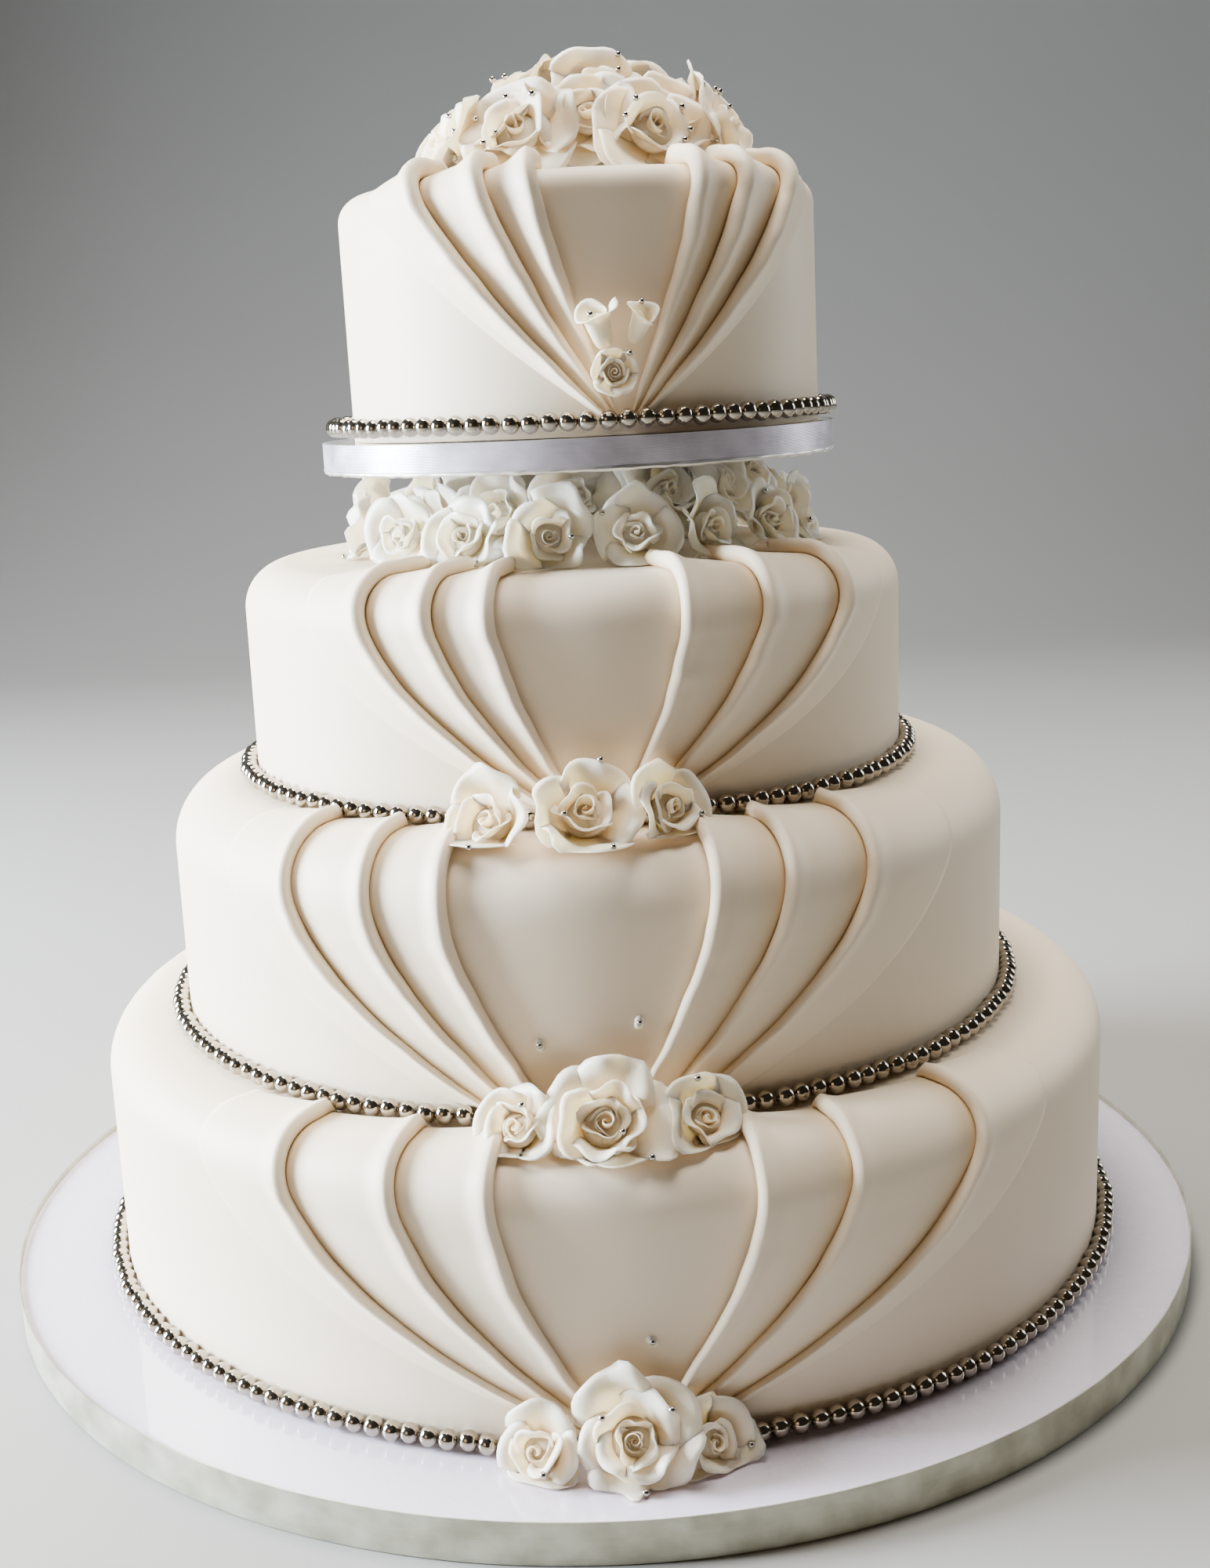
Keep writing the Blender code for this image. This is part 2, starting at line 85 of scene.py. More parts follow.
class Round:
    """A round piece, measured on its node: radius, height and the frame at its foot."""

    def __init__(self, node, lean=0.0):
        low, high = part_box(node)
        self.radius = (high.y - low.y) / 2
        rise = 2 * self.radius * math.sin(lean)
        self.height = (high.z - low.z - rise) / math.cos(lean)
        self.place = (Matrix.Translation((low + high) / 2) @ Matrix.Rotation(-lean, 4, "Y")
                      @ Matrix.Translation((0, 0, -self.height / 2)))
        print(f"{node}: radius {self.radius * 1000:.1f} mm, height {self.height * 1000:.1f} mm")


base_board = Round("base_board")
upper_board = Round("upper_board", UPPER_LEAN)
tiers = [Round(f"tier_{number}") for number in (1, 2, 3)] + [Round("tier_4", UPPER_LEAN)]
for number, tier in enumerate(tiers, start=1):
    tier.number = number


def around(angle, radius, z=0.0):
    """The point at an angle from the front (-Y), turning towards +X."""
    return Vector((radius * math.sin(angle), -radius * math.cos(angle), z))


# %% [markdown]
# ## Node trees written as sums
# A finish or a shape that is worked out by nodes reads best as a formula.  `Value` wraps
# one output of a node and overloads the arithmetic, so `1 - mask` adds its Math node by
# itself.  `Graph.node` makes every other node: its kind, its settings and its inputs.

# %% Arithmetic on sockets
class Value:
    """An output of a node, with the arithmetic that a finish or a shape needs."""

    def __init__(self, graph, socket):
        self.graph = graph
        self.socket = socket

    def math(self, operation, *values):
        return self.graph.node("ShaderNodeMath", {"operation": operation}, values)

    def output(self, name):
        """Another output of the same node."""
        return Value(self.graph, self.socket.node.outputs[name])

    def __add__(self, other):
        return self.math("ADD", self, other)

    def __sub__(self, other):
        return self.math("SUBTRACT", self, other)

    def __rsub__(self, other):
        return self.math("SUBTRACT", other, self)

    def __mul__(self, other):
        return self.math("MULTIPLY", self, other)

    def __truediv__(self, other):
        return self.math("DIVIDE", self, other)

    __radd__ = __add__
    __rmul__ = __mul__

    def least(self, other):
        return self.math("MINIMUM", self, other)

    def most(self, other):
        return self.math("MAXIMUM", self, other)

    def sine(self):
        return self.math("SINE", self)

    def cosine(self):
        return self.math("COSINE", self)


class Graph:
    """A node tree that is being built."""

    def __init__(self, tree):
        self.tree = tree

    def node(self, kind, settings=None, inputs=(), output=0):
        """Add a node.  Settings come first, then a value or a link for each socket."""
        node = self.tree.nodes.new(kind)
        for name, value in (settings or {}).items():
            if name == "stops":
                ramp = node.color_ramp.elements
                while len(ramp) < len(value):
                    ramp.new(1.0)
                for stop, (position, colour) in zip(ramp, value):
                    stop.position = position
                    stop.color = (*colour, 1.0)
            else:
                setattr(node, name, value)
        pairs = inputs.items() if isinstance(inputs, dict) else enumerate(inputs)
        for key, value in pairs:
            if isinstance(value, Value):
                self.tree.links.new(value.socket, node.inputs[key])
            else:
                node.inputs[key].default_value = value
        return Value(self, node.outputs[output])

    def noise(self, place, scale, detail=2.0):
        """Smooth noise from 0 to 1, with lumps about 1 / scale metres across."""
        return self.node("ShaderNodeTexNoise", None,
                         {"Vector": place, "Scale": scale, "Detail": detail})


# %% [markdown]
# ## Finishes
# Every finish here is a Principled shader.  What is the same all over a surface is set on
# the shader's own socket, and only colour, roughness, metal and bump are worked out by
# nodes.  Patterns read Object coordinates, which are metres on the cake, so a grain of
# 1 mm is a scale of 1000 whatever the piece.

# %% A finish
def rgb(red, green, blue):
    return (red, green, blue, 1.0)


class Finish(Graph):
    """A material with one Principled shader."""

    def __init__(self, name, constants):
        self.material = bpy.data.materials.new(name)
        self.material.use_nodes = True
        super().__init__(self.material.node_tree)
        self.shader = self.tree.nodes["Principled BSDF"]
        for socket, value in constants.items():
            self.shader.inputs[socket].default_value = value
        self.place = self.node("ShaderNodeTexCoord", output="Object")

    def set(self, socket, value):
        self.tree.links.new(value.socket, self.shader.inputs[socket])

    def mottle(self, scale, detail):
        """Noise from 0 to 1 that stays where it is on the cake."""
        return self.noise(self.place, scale, detail)

    def blend(self, share, first, second):
        """Mix two colours, each a constant or a value."""
        return self.node("ShaderNodeMix", {"data_type": "RGBA"},
                         {0: share, 6: first, 7: second}, output=2)

    def attribute(self, name):
        return self.node("ShaderNodeAttribute", {"attribute_name": name}, output="Fac")

    def bump(self, height, strength, depth):
        """Relief of a height from 0 to 1, that deep in metres."""
        self.set("Normal", self.node("ShaderNodeBump", None,
                                     {"Height": height, "Strength": strength,
                                      "Distance": depth}))


# %% [markdown]
# ### Rolled fondant
# Fondant is sugar paste rolled out to about 4 mm and smoothed over the cake with a palm
# or a paddle.  It is a matt ivory.  Paddle smoothing leaves broad, faint clouds of sheen,
# and the sugar itself leaves a very fine grain.  In the tucks of the pleats light is
# thrown from sugar to sugar and turns golden and dim, and an attribute paints that
# into the colour as golden shade.

# %% Fondant and its pleats
# Painted golden shade in the pleats' tucks: how strong it is at most, and its colour.
TUCK_SHADE_TINT = 0.78            # how much of the gold shows in the deepest tuck
TUCK_SHADE_GOLD = rgb(0.58, 0.38, 0.13)


def fondant_finish(name, light, shade, with_tuck_shade=False):
    finish = Finish(name, {"Specular IOR Level": 0.38})
    clouds = finish.mottle(scale=9.0, detail=2.0)
    smears = finish.mottle(scale=38.0, detail=2.0)
    ripple = finish.mottle(scale=160.0, detail=2.0)
    grain = finish.mottle(scale=2600.0, detail=1.0)
    colour = finish.blend(clouds * 0.7 + smears * 0.3, light, shade)
    if with_tuck_shade:
        # painted golden shade, strongest in the tucks, read from the mesh's attribute
        tucked = finish.attribute("tucked")
        colour = finish.blend(tucked * TUCK_SHADE_TINT, colour, TUCK_SHADE_GOLD)
    finish.set("Base Color", colour)
    finish.set("Roughness", 0.40 + smears * 0.16 + grain * 0.08)
    finish.bump(ripple * 0.55 + grain * 0.25, strength=0.35, depth=0.00025)
    return finish.material


fondant = fondant_finish("rolled_fondant", rgb(0.88, 0.755, 0.59), rgb(0.86, 0.72, 0.535))
pleats = fondant_finish("pleated_fondant", rgb(0.89, 0.765, 0.595), rgb(0.87, 0.73, 0.54),
                        with_tuck_shade=True)
print("made", fondant.name, "and", pleats.name)

# %% [markdown]
# ### Sugar petals
# Petals are rolled from gum paste, much thinner than fondant, so light shines through
# them: a larger share of subsurface light with a short reach does that.  An attribute
# that runs from 0 at a petal's foot to 1 at its rim gives the hearts and the petals'
# feet a deeper cream, which is painted golden shade deep in the rose.  The roses between
# the boards are of the same paste, but a whiter copy of the finish paints the cool light
# that falls on them.

# %% Petals, icing and pillars
def petal_finish(name, painted_heart_shade, rims):
    finish = Finish(name, {
        "Specular IOR Level": 0.42,
        "Subsurface Weight": 0.60, "Subsurface Radius": (1.0, 0.74, 0.46),
        "Subsurface Scale": 0.0032})
    rim = finish.attribute("rim")
    veins = finish.mottle(scale=240.0, detail=3.0)
    grain = finish.mottle(scale=2200.0, detail=2.0)
    # the deeper cream at the petals' feet and in the hearts is painted golden shade
    finish.set("Base Color", finish.blend(rim, finish.blend(veins, *painted_heart_shade),
                                          finish.blend(veins, *rims)))
    finish.set("Roughness", 0.38 + veins * 0.16)
    finish.bump(veins * 0.6 + grain * 0.3, strength=0.4, depth=0.0002)
    return finish.material


def plain_finish(name, colour, other, roughness, scale):
    """A matt surface with faint clouds, for icing, pillars and the floor."""
    finish = Finish(name, {"Specular IOR Level": 0.4})
    clouds = finish.mottle(scale=scale, detail=3.0)
    grain = finish.mottle(scale=1500.0, detail=1.0)
    finish.set("Base Color", finish.blend(clouds, colour, other))
    finish.set("Roughness", roughness + grain * 0.12)
    finish.bump(clouds * 0.6 + grain * 0.2, strength=0.3, depth=0.0004)
    return finish.material


# first pair: painted golden shade of the hearts and feet; second pair: the rims
petal = petal_finish("sugar_petal", (rgb(0.98, 0.72, 0.41), rgb(0.98, 0.76, 0.47)),
                     (rgb(0.99, 0.82, 0.61), rgb(0.99, 0.85, 0.65)))
# a whiter copy of the petal finish paints the cool light on the roses between the boards
white_petal = petal_finish("white_petal", (rgb(0.96, 0.80, 0.55), rgb(0.97, 0.83, 0.60)),
                           (rgb(0.98, 0.89, 0.71), rgb(0.98, 0.91, 0.75)))
icing = plain_finish("royal_icing", rgb(0.87, 0.83, 0.74), rgb(0.82, 0.77, 0.66), 0.5, 120.0)
plaster = plain_finish("pillar_white", rgb(0.80, 0.79, 0.72), rgb(0.76, 0.75, 0.67), 0.42, 60.0)
print("made", [material.name for material in (petal, white_petal, icing, plaster)])

# %% [markdown]
# ### Silver, boards and ribbon
# Pearls and dragees are silvered, so they are metal: their look comes from what they
# mirror.  The silvering is thin and slightly cloudy, which a roughness that varies shows.
# The boards are covered with glossy coated paper and have a ribbon of satin round them.

# %% Silver, coated board, satin and foil
def silver_finish(name, colour, other, roughness):
    finish = Finish(name, {})
    clouds = finish.mottle(scale=700.0, detail=2.0)
    finish.set("Base Color", finish.blend(clouds, colour, other))
    finish.set("Metallic", 1.0 - clouds * 0.06)
    finish.set("Roughness", roughness + clouds * 0.08)
    finish.bump(finish.mottle(scale=420.0, detail=1.0), strength=0.12, depth=0.0003)
    return finish.material


def board_finish(name, colour, other):
    finish = Finish(name, {"Coat Roughness": 0.03, "Coat IOR": 2.0,
                           "Specular IOR Level": 0.5})
    clouds = finish.mottle(scale=14.0, detail=2.0)
    scuffs = finish.mottle(scale=90.0, detail=4.0)
    paper = finish.mottle(scale=900.0, detail=2.0)
    finish.set("Base Color", finish.blend(clouds, colour, other))
    finish.set("Roughness", 0.20 + scuffs * 0.14)
    finish.set("Coat Weight", 1.0 - scuffs * 0.2)
    finish.bump(clouds * 0.5 + paper * 0.2, strength=0.25, depth=0.0004)
    return finish.material


SATIN_THREAD = 0.0004       # from thread to thread


def satin_finish(name, colour, other):
    """Satin: lengthways threads, with a UV map in metres along and across the ribbon."""
    finish = Finish(name, {"Metallic": 0.55, "Specular IOR Level": 0.7})
    run = finish.node("ShaderNodeUVMap", {"uv_map": "ribbon"})
    along = finish.node("ShaderNodeSeparateXYZ", None, (run,))
    across = along.output("Y")

    def streaks(lengthways, crossways):
        """Noise with a scale of its own along the ribbon and across it."""
        place = finish.node("ShaderNodeCombineXYZ", None,
                            (along * lengthways, across * crossways, 0.0))
        return finish.noise(place, scale=1.0, detail=3.0)

    shine = streaks(60.0, 900.0)
    folds = streaks(55.0, 60.0)
    threads = (across * (math.tau / SATIN_THREAD)).sine() * 0.5 + 0.5
    # painted sheen and shade: the folds' noise and the shine streaks make lighter and darker
    # patches of colour
    painted_sheen_patches = finish.node("ShaderNodeValToRGB", {"stops": ((0.36, (0, 0, 0)), (0.64, (1, 1, 1)))},
                          (folds,))
    finish.set("Base Color", finish.blend(shine * 0.3 + painted_sheen_patches * 0.7, colour, other))
    finish.set("Roughness", 0.22 + shine * 0.14 + folds * 0.14)
    finish.bump(folds * 0.75 + threads * 0.08 + shine * 0.1, strength=0.5, depth=0.0009)
    return finish.material


pearl_silver = silver_finish("pearl_silver", rgb(0.46, 0.41, 0.34), rgb(0.35, 0.31, 0.25), 0.08)
dragee_silver = silver_finish("dragee_silver", rgb(0.50, 0.48, 0.45), rgb(0.42, 0.40, 0.37), 0.08)
board_paper = board_finish("coated_board", rgb(0.76, 0.70, 0.80), rgb(0.71, 0.65, 0.77))
upper_paper = board_finish("coated_card", rgb(0.82, 0.81, 0.85), rgb(0.78, 0.77, 0.82))
# the darker of each satin's two colours is painted shade and dim reflection of its folds
pearl_satin = satin_finish("pearl_satin", rgb(0.35, 0.34, 0.25), rgb(0.68, 0.68, 0.56))
lilac_satin = satin_finish("lilac_satin", rgb(0.44, 0.40, 0.47), rgb(0.68, 0.65, 0.73))
silver_foil = silver_finish("silver_foil", rgb(0.80, 0.79, 0.76), rgb(0.66, 0.64, 0.60), 0.40)
print("finishes", len(bpy.data.materials))

# %% [markdown]
# ## From grids of points to closed pieces
# A petal, a pleat or a board is easiest to work out as a grid of points, row by row.
# `woven` joins such grids into one mesh.  Where a grid comes back to its own edge, or
# shrinks to a point, its doubles are merged, so each shell is closed, and then the
# normals are recalculated to face outwards.

# %% Meshes from grids
MERGE = 0.000002


def woven(name, grids, shade_name=None, shades=None, place=None):
    """One mesh of closed shells from grids of points, with a value for each point."""
    points = []
    faces = []
    start = 0
    for grid in grids:
        rows, columns = grid.shape[:2]
        index = start + np.arange(rows * columns).reshape(rows, columns)
        cells = (index[:-1, :-1], index[1:, :-1], index[1:, 1:], index[:-1, 1:])
        faces.append(np.stack(cells, axis=-1).reshape(-1, 4))
        points.append(grid.reshape(-1, 3))
        start += rows * columns
    mesh = bpy.data.meshes.new(name)
    mesh.from_pydata(np.concatenate(points).tolist(), [], np.concatenate(faces).tolist())
    if shade_name:
        layer = mesh.attributes.new(shade_name, "FLOAT", "POINT")
        layer.data.foreach_set("value", np.concatenate([s.ravel() for s in shades]))
    shape = bmesh.new()
    shape.from_mesh(mesh)
    bmesh.ops.remove_doubles(shape, verts=shape.verts, dist=MERGE)
    bmesh.ops.recalc_face_normals(shape, faces=shape.faces)
    shape.to_mesh(mesh)
    shape.free()
    if place is not None:
        mesh.transform(place)
    mesh.shade_smooth()
    return mesh


def turned(outline, segments, wobble=None):
    """A grid for an outline of (radius, height) points spun about Z.

    wobble(angle, radius, height) may move a point outwards and up, in metres.
    """
    grid = np.zeros((len(outline), segments + 1, 3))
    for row, (radius, height) in enumerate(outline):
        for column in range(segments + 1):
            angle = math.tau * (column % segments) / segments
            out, up = wobble(angle, radius, height) if wobble else (0.0, 0.0)
            grid[row, column] = around(angle, radius + out, height + up)
    return grid


def placed(name, data):
    """A new object in the scene."""
    thing = bpy.data.objects.new(name, data)
    bpy.context.scene.collection.objects.link(thing)
    return thing


def finished(mesh, material, slot, *nodes):
    """Make a mesh a piece of the cake, standing for its nodes of the construction."""
    mesh.materials.append(material)
    piece = placed(mesh.name, mesh)
    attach(piece, "root")
    if nodes:
        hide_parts(*nodes)
    print(piece.name, len(mesh.polygons), "faces")


# %% [markdown]
# ## Camera, floor and soft light
# The camera looks slightly down on the cake from its front, turned a little on its own
# axis.  A big cool light on the left is the brightest.  One from above models the tops,
# a weak one on the right lifts the dark side, and a weak warm one at the left front
# catches the pleats.  The middle of each tier stays calm and the pleats throw shadows.

# %% Camera
CAMERA_PLACE = (0.0, -0.7523, 0.3676)
CAMERA_DOWN = 0.2240                # radians below the horizon
CAMERA_ASIDE = 0.0099               # radians towards +X
CAMERA_ROLL = -0.0388
SENSOR_HEIGHT = 36.0
LENS = 41.18
CLIP_START = 0.05

forward = Vector((math.sin(CAMERA_ASIDE) * math.cos(CAMERA_DOWN),
                  math.cos(CAMERA_ASIDE) * math.cos(CAMERA_DOWN), -math.sin(CAMERA_DOWN)))
level = forward.cross(Vector((0, 0, 1))).normalized()
upright = level.cross(forward)
camera_x = math.cos(CAMERA_ROLL) * level + math.sin(CAMERA_ROLL) * upright
camera_y = math.cos(CAMERA_ROLL) * upright - math.sin(CAMERA_ROLL) * level
camera = placed("camera", bpy.data.cameras.new("camera"))
camera.matrix_world = (Matrix.Translation(CAMERA_PLACE)
                       @ Matrix((camera_x, camera_y, -forward)).transposed().to_4x4())
camera.data.sensor_fit = "VERTICAL"
camera.data.sensor_height = SENSOR_HEIGHT
camera.data.lens = LENS
camera.data.clip_start = CLIP_START
bpy.context.scene.camera = camera
print("camera at", CAMERA_PLACE, "with a lens of", LENS, "mm")

# %% [markdown]
# The floor is one pale sheet that sweeps up behind the cake, as a paper backdrop does, so
# no corner shows.  The lights are soft boxes, because a bare bulb would leave hard edges
# of shadow between the pleats.

# %% Floor, sky and lights
FLOOR_SIZE = 12.0
FLOOR_LEVEL = -0.0004
SWEEP_START = 1.6            # where the floor starts to curve up behind the cake
SWEEP_RADIUS = 1.5
SWEEP_STEP = 5               # degrees
SWEEP_TOP = 5.0
SKY_COLOUR = rgb(0.90, 0.76, 0.60)
SKY_STRENGTH = 0.035
LIGHT_AIM = Vector((0.0, 0.0, 0.22))
LIGHTS = (      # name, place, width, height, watts, colour
    ("window_left", (-1.55, -0.02, 0.60), 0.65, 0.85, 245.0, (0.81, 0.905, 1.0)),
    ("lamp_right", (1.45, 0.60, 0.70), 0.7, 0.9, 12.0, (0.94, 0.99, 1.0)),
    ("soft_top", (-0.10, 0.25, 1.70), 0.9, 0.9, 56.0, (1.0, 0.95, 0.88)),
    ("soft_front", (-1.05, -1.60, 0.72), 0.8, 0.8, 3.2, (1.0, 0.71, 0.44)),
)

for name, place, width, height, power, colour in LIGHTS:
    lamp = bpy.data.lights.new(name, "AREA")
    lamp.shape = "RECTANGLE"
    lamp.size = width
    lamp.size_y = height
    lamp.energy = power
    lamp.color = colour
    light = placed(name, lamp)
    light.location = place
    light.rotation_euler = (LIGHT_AIM - Vector(place)).to_track_quat("-Z", "Y").to_euler()

world = bpy.data.worlds.new("studio")
world.use_nodes = True
sky = world.node_tree.nodes["Background"].inputs
sky["Color"].default_value = SKY_COLOUR
sky["Strength"].default_value = SKY_STRENGTH
bpy.context.scene.world = world

floor_line = [(-FLOOR_SIZE / 2, FLOOR_LEVEL)]
for degrees in range(0, 91, SWEEP_STEP):
    angle = math.radians(degrees)
    floor_line.append((SWEEP_START + SWEEP_RADIUS * math.sin(angle),
                       FLOOR_LEVEL + SWEEP_RADIUS * (1 - math.cos(angle))))
floor_line.append((SWEEP_START + SWEEP_RADIUS, SWEEP_TOP))
floor_points = [(side * FLOOR_SIZE / 2, y, z) for y, z in floor_line for side in (-1, 1)]
floor_faces = [(2 * row, 2 * row + 1, 2 * row + 3, 2 * row + 2)
               for row in range(len(floor_line) - 1)]
floor_mesh = bpy.data.meshes.new("studio_floor")
floor_mesh.from_pydata(floor_points, [], floor_faces)
floor_mesh.shade_smooth()
floor_mesh.materials.append(plain_finish("studio_floor", rgb(0.33, 0.32, 0.30),
                                         rgb(0.31, 0.30, 0.28), roughness=0.8, scale=3.0))
floor = placed("studio_floor", floor_mesh)
floor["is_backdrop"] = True
print("lights", [light[0] for light in LIGHTS])

# %% [markdown]
# ## Geometry Nodes as a workshop
# A tree is built once and run for each piece with its own sizes.  A holder object
# carries the modifier, the evaluated result becomes a plain mesh, and the holder goes.

# %% A shape made by nodes
class Shape(Graph):
    """A Geometry Nodes tree with named inputs for its sizes."""

    def __init__(self, name, sizes, counts):
        super().__init__(bpy.data.node_groups.new(name, "GeometryNodeTree"))
        sockets = [(socket, "INPUT", "Float") for socket in sizes]
        sockets += [(socket, "INPUT", "Int") for socket in counts]
        for socket, way, kind in sockets + [("Geometry", "OUTPUT", "Geometry")]:
            self.tree.interface.new_socket(socket, in_out=way,
                                           socket_type=f"NodeSocket{kind}")
        entry = self.tree.nodes.new("NodeGroupInput")
        self.size = {name: Value(self, entry.outputs[name]) for name in (*sizes, *counts)}

    def drawn(self, kind, low, high, seed):
        """A random FLOAT or FLOAT_VECTOR from low to high for each point."""
        first = 2 if kind == "FLOAT" else 0     # the node has sockets for each kind
        return self.node("FunctionNodeRandomValue", {"data_type": kind},
                         {first: low, first + 1: high, "Seed": seed}, output=first // 2)

    def close(self, geometry, material):
        """End the tree: instances realized, smooth, with its material."""
        real = self.node("GeometryNodeRealizeInstances", None, (geometry,))
        smooth = self.node("GeometryNodeSetShadeSmooth", None, (real,))
        painted = self.node("GeometryNodeSetMaterial", None,
                            {"Geometry": smooth, "Material": material})
        leave = self.tree.nodes.new("NodeGroupOutput")
        self.tree.links.new(painted.socket, leave.inputs[0])

    def grown(self, name, sizes, place):
        """Run the tree with these sizes and keep the mesh that it makes."""
        holder = placed(name, bpy.data.meshes.new(name))
        modifier = holder.modifiers.new("shape", "NODES")
        modifier.node_group = self.tree
        for item in self.tree.interface.items_tree:
            if item.name in sizes:
                modifier[item.identifier] = sizes[item.name]
        whole = holder.evaluated_get(bpy.context.evaluated_depsgraph_get())
        mesh = bpy.data.meshes.new_from_object(whole)
        bpy.data.objects.remove(holder)
        mesh.name = name
        mesh.transform(place)
        mesh.materials.clear()
        return mesh


# %% [markdown]
# ## The tiers
# A covered tier is a turned shape: flat foot, upright side, rounded shoulder, flat top.
# Its outline has one running length, so one formula with `least` and `most` gives radius
# and height all the way round from the foot's middle to the top's middle.  The same tree
# makes all four.  Noise moves the surface by a fraction of a millimetre, as a smoothed
# covering always is, but not at the foot, which stands on its board.

# %% Covered tiers
TIER_COLUMNS = 193
TIER_ROWS = 110
SHOULDERS = (0.018, 0.025, 0.018, 0.010)    # radius of each tier's rounded shoulder
UNEVENNESS = 0.0016
EVEN_FOOT = 0.01            # the unevenness grows over this height


def covered_tier_tree():
    shape = Shape("covered tier", ("Radius", "Height", "Shoulder", "Unevenness"), ("Seed",))
    radius, height, edge = (shape.size[name] for name in ("Radius", "Height", "Shoulder"))
    sheet = shape.node("GeometryNodeMeshGrid", None,
                       (1.0, 1.0, TIER_COLUMNS, TIER_ROWS))
    spot = shape.node("ShaderNodeSeparateXYZ", None,
                      (shape.node("GeometryNodeInputPosition"),))
    angle = (spot + 0.5) * math.tau
    row = (spot.output("Y") + 0.5) * (TIER_ROWS - 1)
    side = height - edge
    bend = edge * (math.pi / 2)
    whole = side + bend + radius - edge
    run = (row - 1).most(0.0) * whole / (TIER_ROWS - 2)
    past = ((run - side) / edge).most(0.0).least(math.pi / 2)
    reach = radius - edge * (1 - past.cosine()) - (run - side - bend).most(0.0)
    reach = (reach * row.least(1.0)).most(0.0)
    rise = run.least(side) + edge * past.sine()
    bare = shape.node("ShaderNodeCombineXYZ", None,
                      (reach * angle.sine(), reach * angle.cosine() * -1, rise))
    seeded = shape.node("ShaderNodeVectorMath", {"operation": "ADD"},
                        (bare, shape.node("ShaderNodeCombineXYZ", None,
                                          (shape.size["Seed"], 0.0, 0.0))))
    broad = shape.noise(seeded, scale=11.0, detail=1.0) - 0.5
    fine = shape.noise(seeded, scale=55.0, detail=1.0) - 0.5
    lift = ((broad * 0.8 + fine * 0.2) * shape.size["Unevenness"]
            * (rise / EVEN_FOOT).least(1.0))
    formed = shape.node("GeometryNodeSetPosition", None, {"Geometry": sheet, "Position": bare})
    closed = shape.node("GeometryNodeMergeByDistance", None,
                        {"Geometry": formed, "Distance": MERGE})
    push = shape.node("ShaderNodeVectorMath", {"operation": "SCALE"},
                      {0: shape.node("GeometryNodeInputNormal"), "Scale": lift})
    shape.close(shape.node("GeometryNodeSetPosition", None,
                           {"Geometry": closed, "Offset": push}), fondant)
    return shape


covered_tier = covered_tier_tree()
for tier, shoulder in zip(tiers, SHOULDERS):
    tier.shoulder = shoulder
    mesh = covered_tier.grown(f"cake_tier_{tier.number}", {
        "Radius": tier.radius, "Height": tier.height, "Shoulder": shoulder,
        "Unevenness": UNEVENNESS, "Seed": tier.number * 7}, tier.place)
    finished(mesh, fondant, "fondant", f"tier_{tier.number}")

# %% [markdown]
# ## The pleated drapes
# Each drape has two wings of three strips.  A strip's edge is rolled under into a soft
# tube, which is the ridge of a pleat, and its other side runs out under the next strip,
# so there is a real tuck with a dark crease.  The strips fan out from the foot, go over
# the shoulder and run in along the top.  A strip is a closed shell: its section is worked
# out flat, in metres from its crease, and bent round the tier row by row.

# %% How the pleats fall
class Drape:
    """Where the pleats of one tier are, in degrees from the middle at the shoulder."""

    def __init__(self, tier, turn, foot, left, right, end, bow=1.0):
        self.tier = tier
        self.turn = math.radians(turn)
        self.foot = foot            # height at which the pleats would meet
        self.wings = {-1: left, 1: right}
        self.end = end              # the radius to which they run in along the top
        self.bow = bow              # 1 for pleats that bow outwards, 0 for straight

    def angle(self, degrees, height):
        share = (height - self.foot) / (self.tier.height - self.foot)
        share = self.bow * math.sin(math.pi / 2 * share) + (1 - self.bow) * share
        return math.radians(degrees) * share


END_GAP = 0.0080            # between the pleats' ends and the next tier
drapes = [
    Drape(tiers[0], 0.5, 0.0, (11.5, 21, 33, 46), (12.5, 22, 37, 50), tiers[1].radius + END_GAP),
    Drape(tiers[1], -1.0, -0.015, (16, 26, 38, 52), (14.5, 24, 36, 54),
          tiers[2].radius + END_GAP),
    Drape(tiers[2], 3.5, -0.004, (15, 25, 37, 52), (13, 27, 44, 61), 0.0920),
    Drape(tiers[3], 8.0, 0.0, (17, 29, 46, 66), (18, 31, 47, 66), 0.0740, bow=0.2),
]
for drape in drapes:
    low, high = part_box(f"drape_{drape.tier.number}")
    print(f"drape {drape.tier.number} spans {(high.x - low.x) * 1000:.0f} mm")

# %% [markdown]
# ### Stations along a pleat
# A pleat is followed in stations: up the side, over the rounded shoulder and in along the
# top.  Each station knows which way is out of the cake there, so a section that is laid
# on it stands on the surface and not beside it.

# %% Stations of the pleats
SIDE_ROWS, SHOULDER_ROWS, TOP_ROWS = 64, 14, 14
UPPER_FOOT = 0.0068         # where the fourth tier's pleats start, above its own foot


def pleat_rows(drape):
    """Each station is (radius, height, normal outwards, normal up)."""
    tier = drape.tier
    edge = tier.shoulder
    if tier.number == 4:
        foot = UPPER_FOOT
    else:
        pearls_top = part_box(f"bead_string_{tier.number}")[1].z
        foot = tier.height - (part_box(f"tier_{tier.number}")[1].z - pearls_top)
    rows = []
    for row in range(SIDE_ROWS):
        height = foot + (tier.height - edge - foot) * row / SIDE_ROWS
        rows.append((tier.radius, height, 1.0, 0.0))
    for row in range(SHOULDER_ROWS):
        angle = math.pi / 2 * row / SHOULDER_ROWS
        out, up = math.cos(angle), math.sin(angle)
        rows.append((tier.radius - edge * (1 - out), tier.height - edge * (1 - up), out, up))
    for row in range(TOP_ROWS + 1):
        reach = (tier.radius - edge) + (drape.end - tier.radius + edge) * row / TOP_ROWS
        rows.append((reach, tier.height, 0.0, 1.0))
    return rows


print("stations of the first drape", len(pleat_rows(drapes[0])))
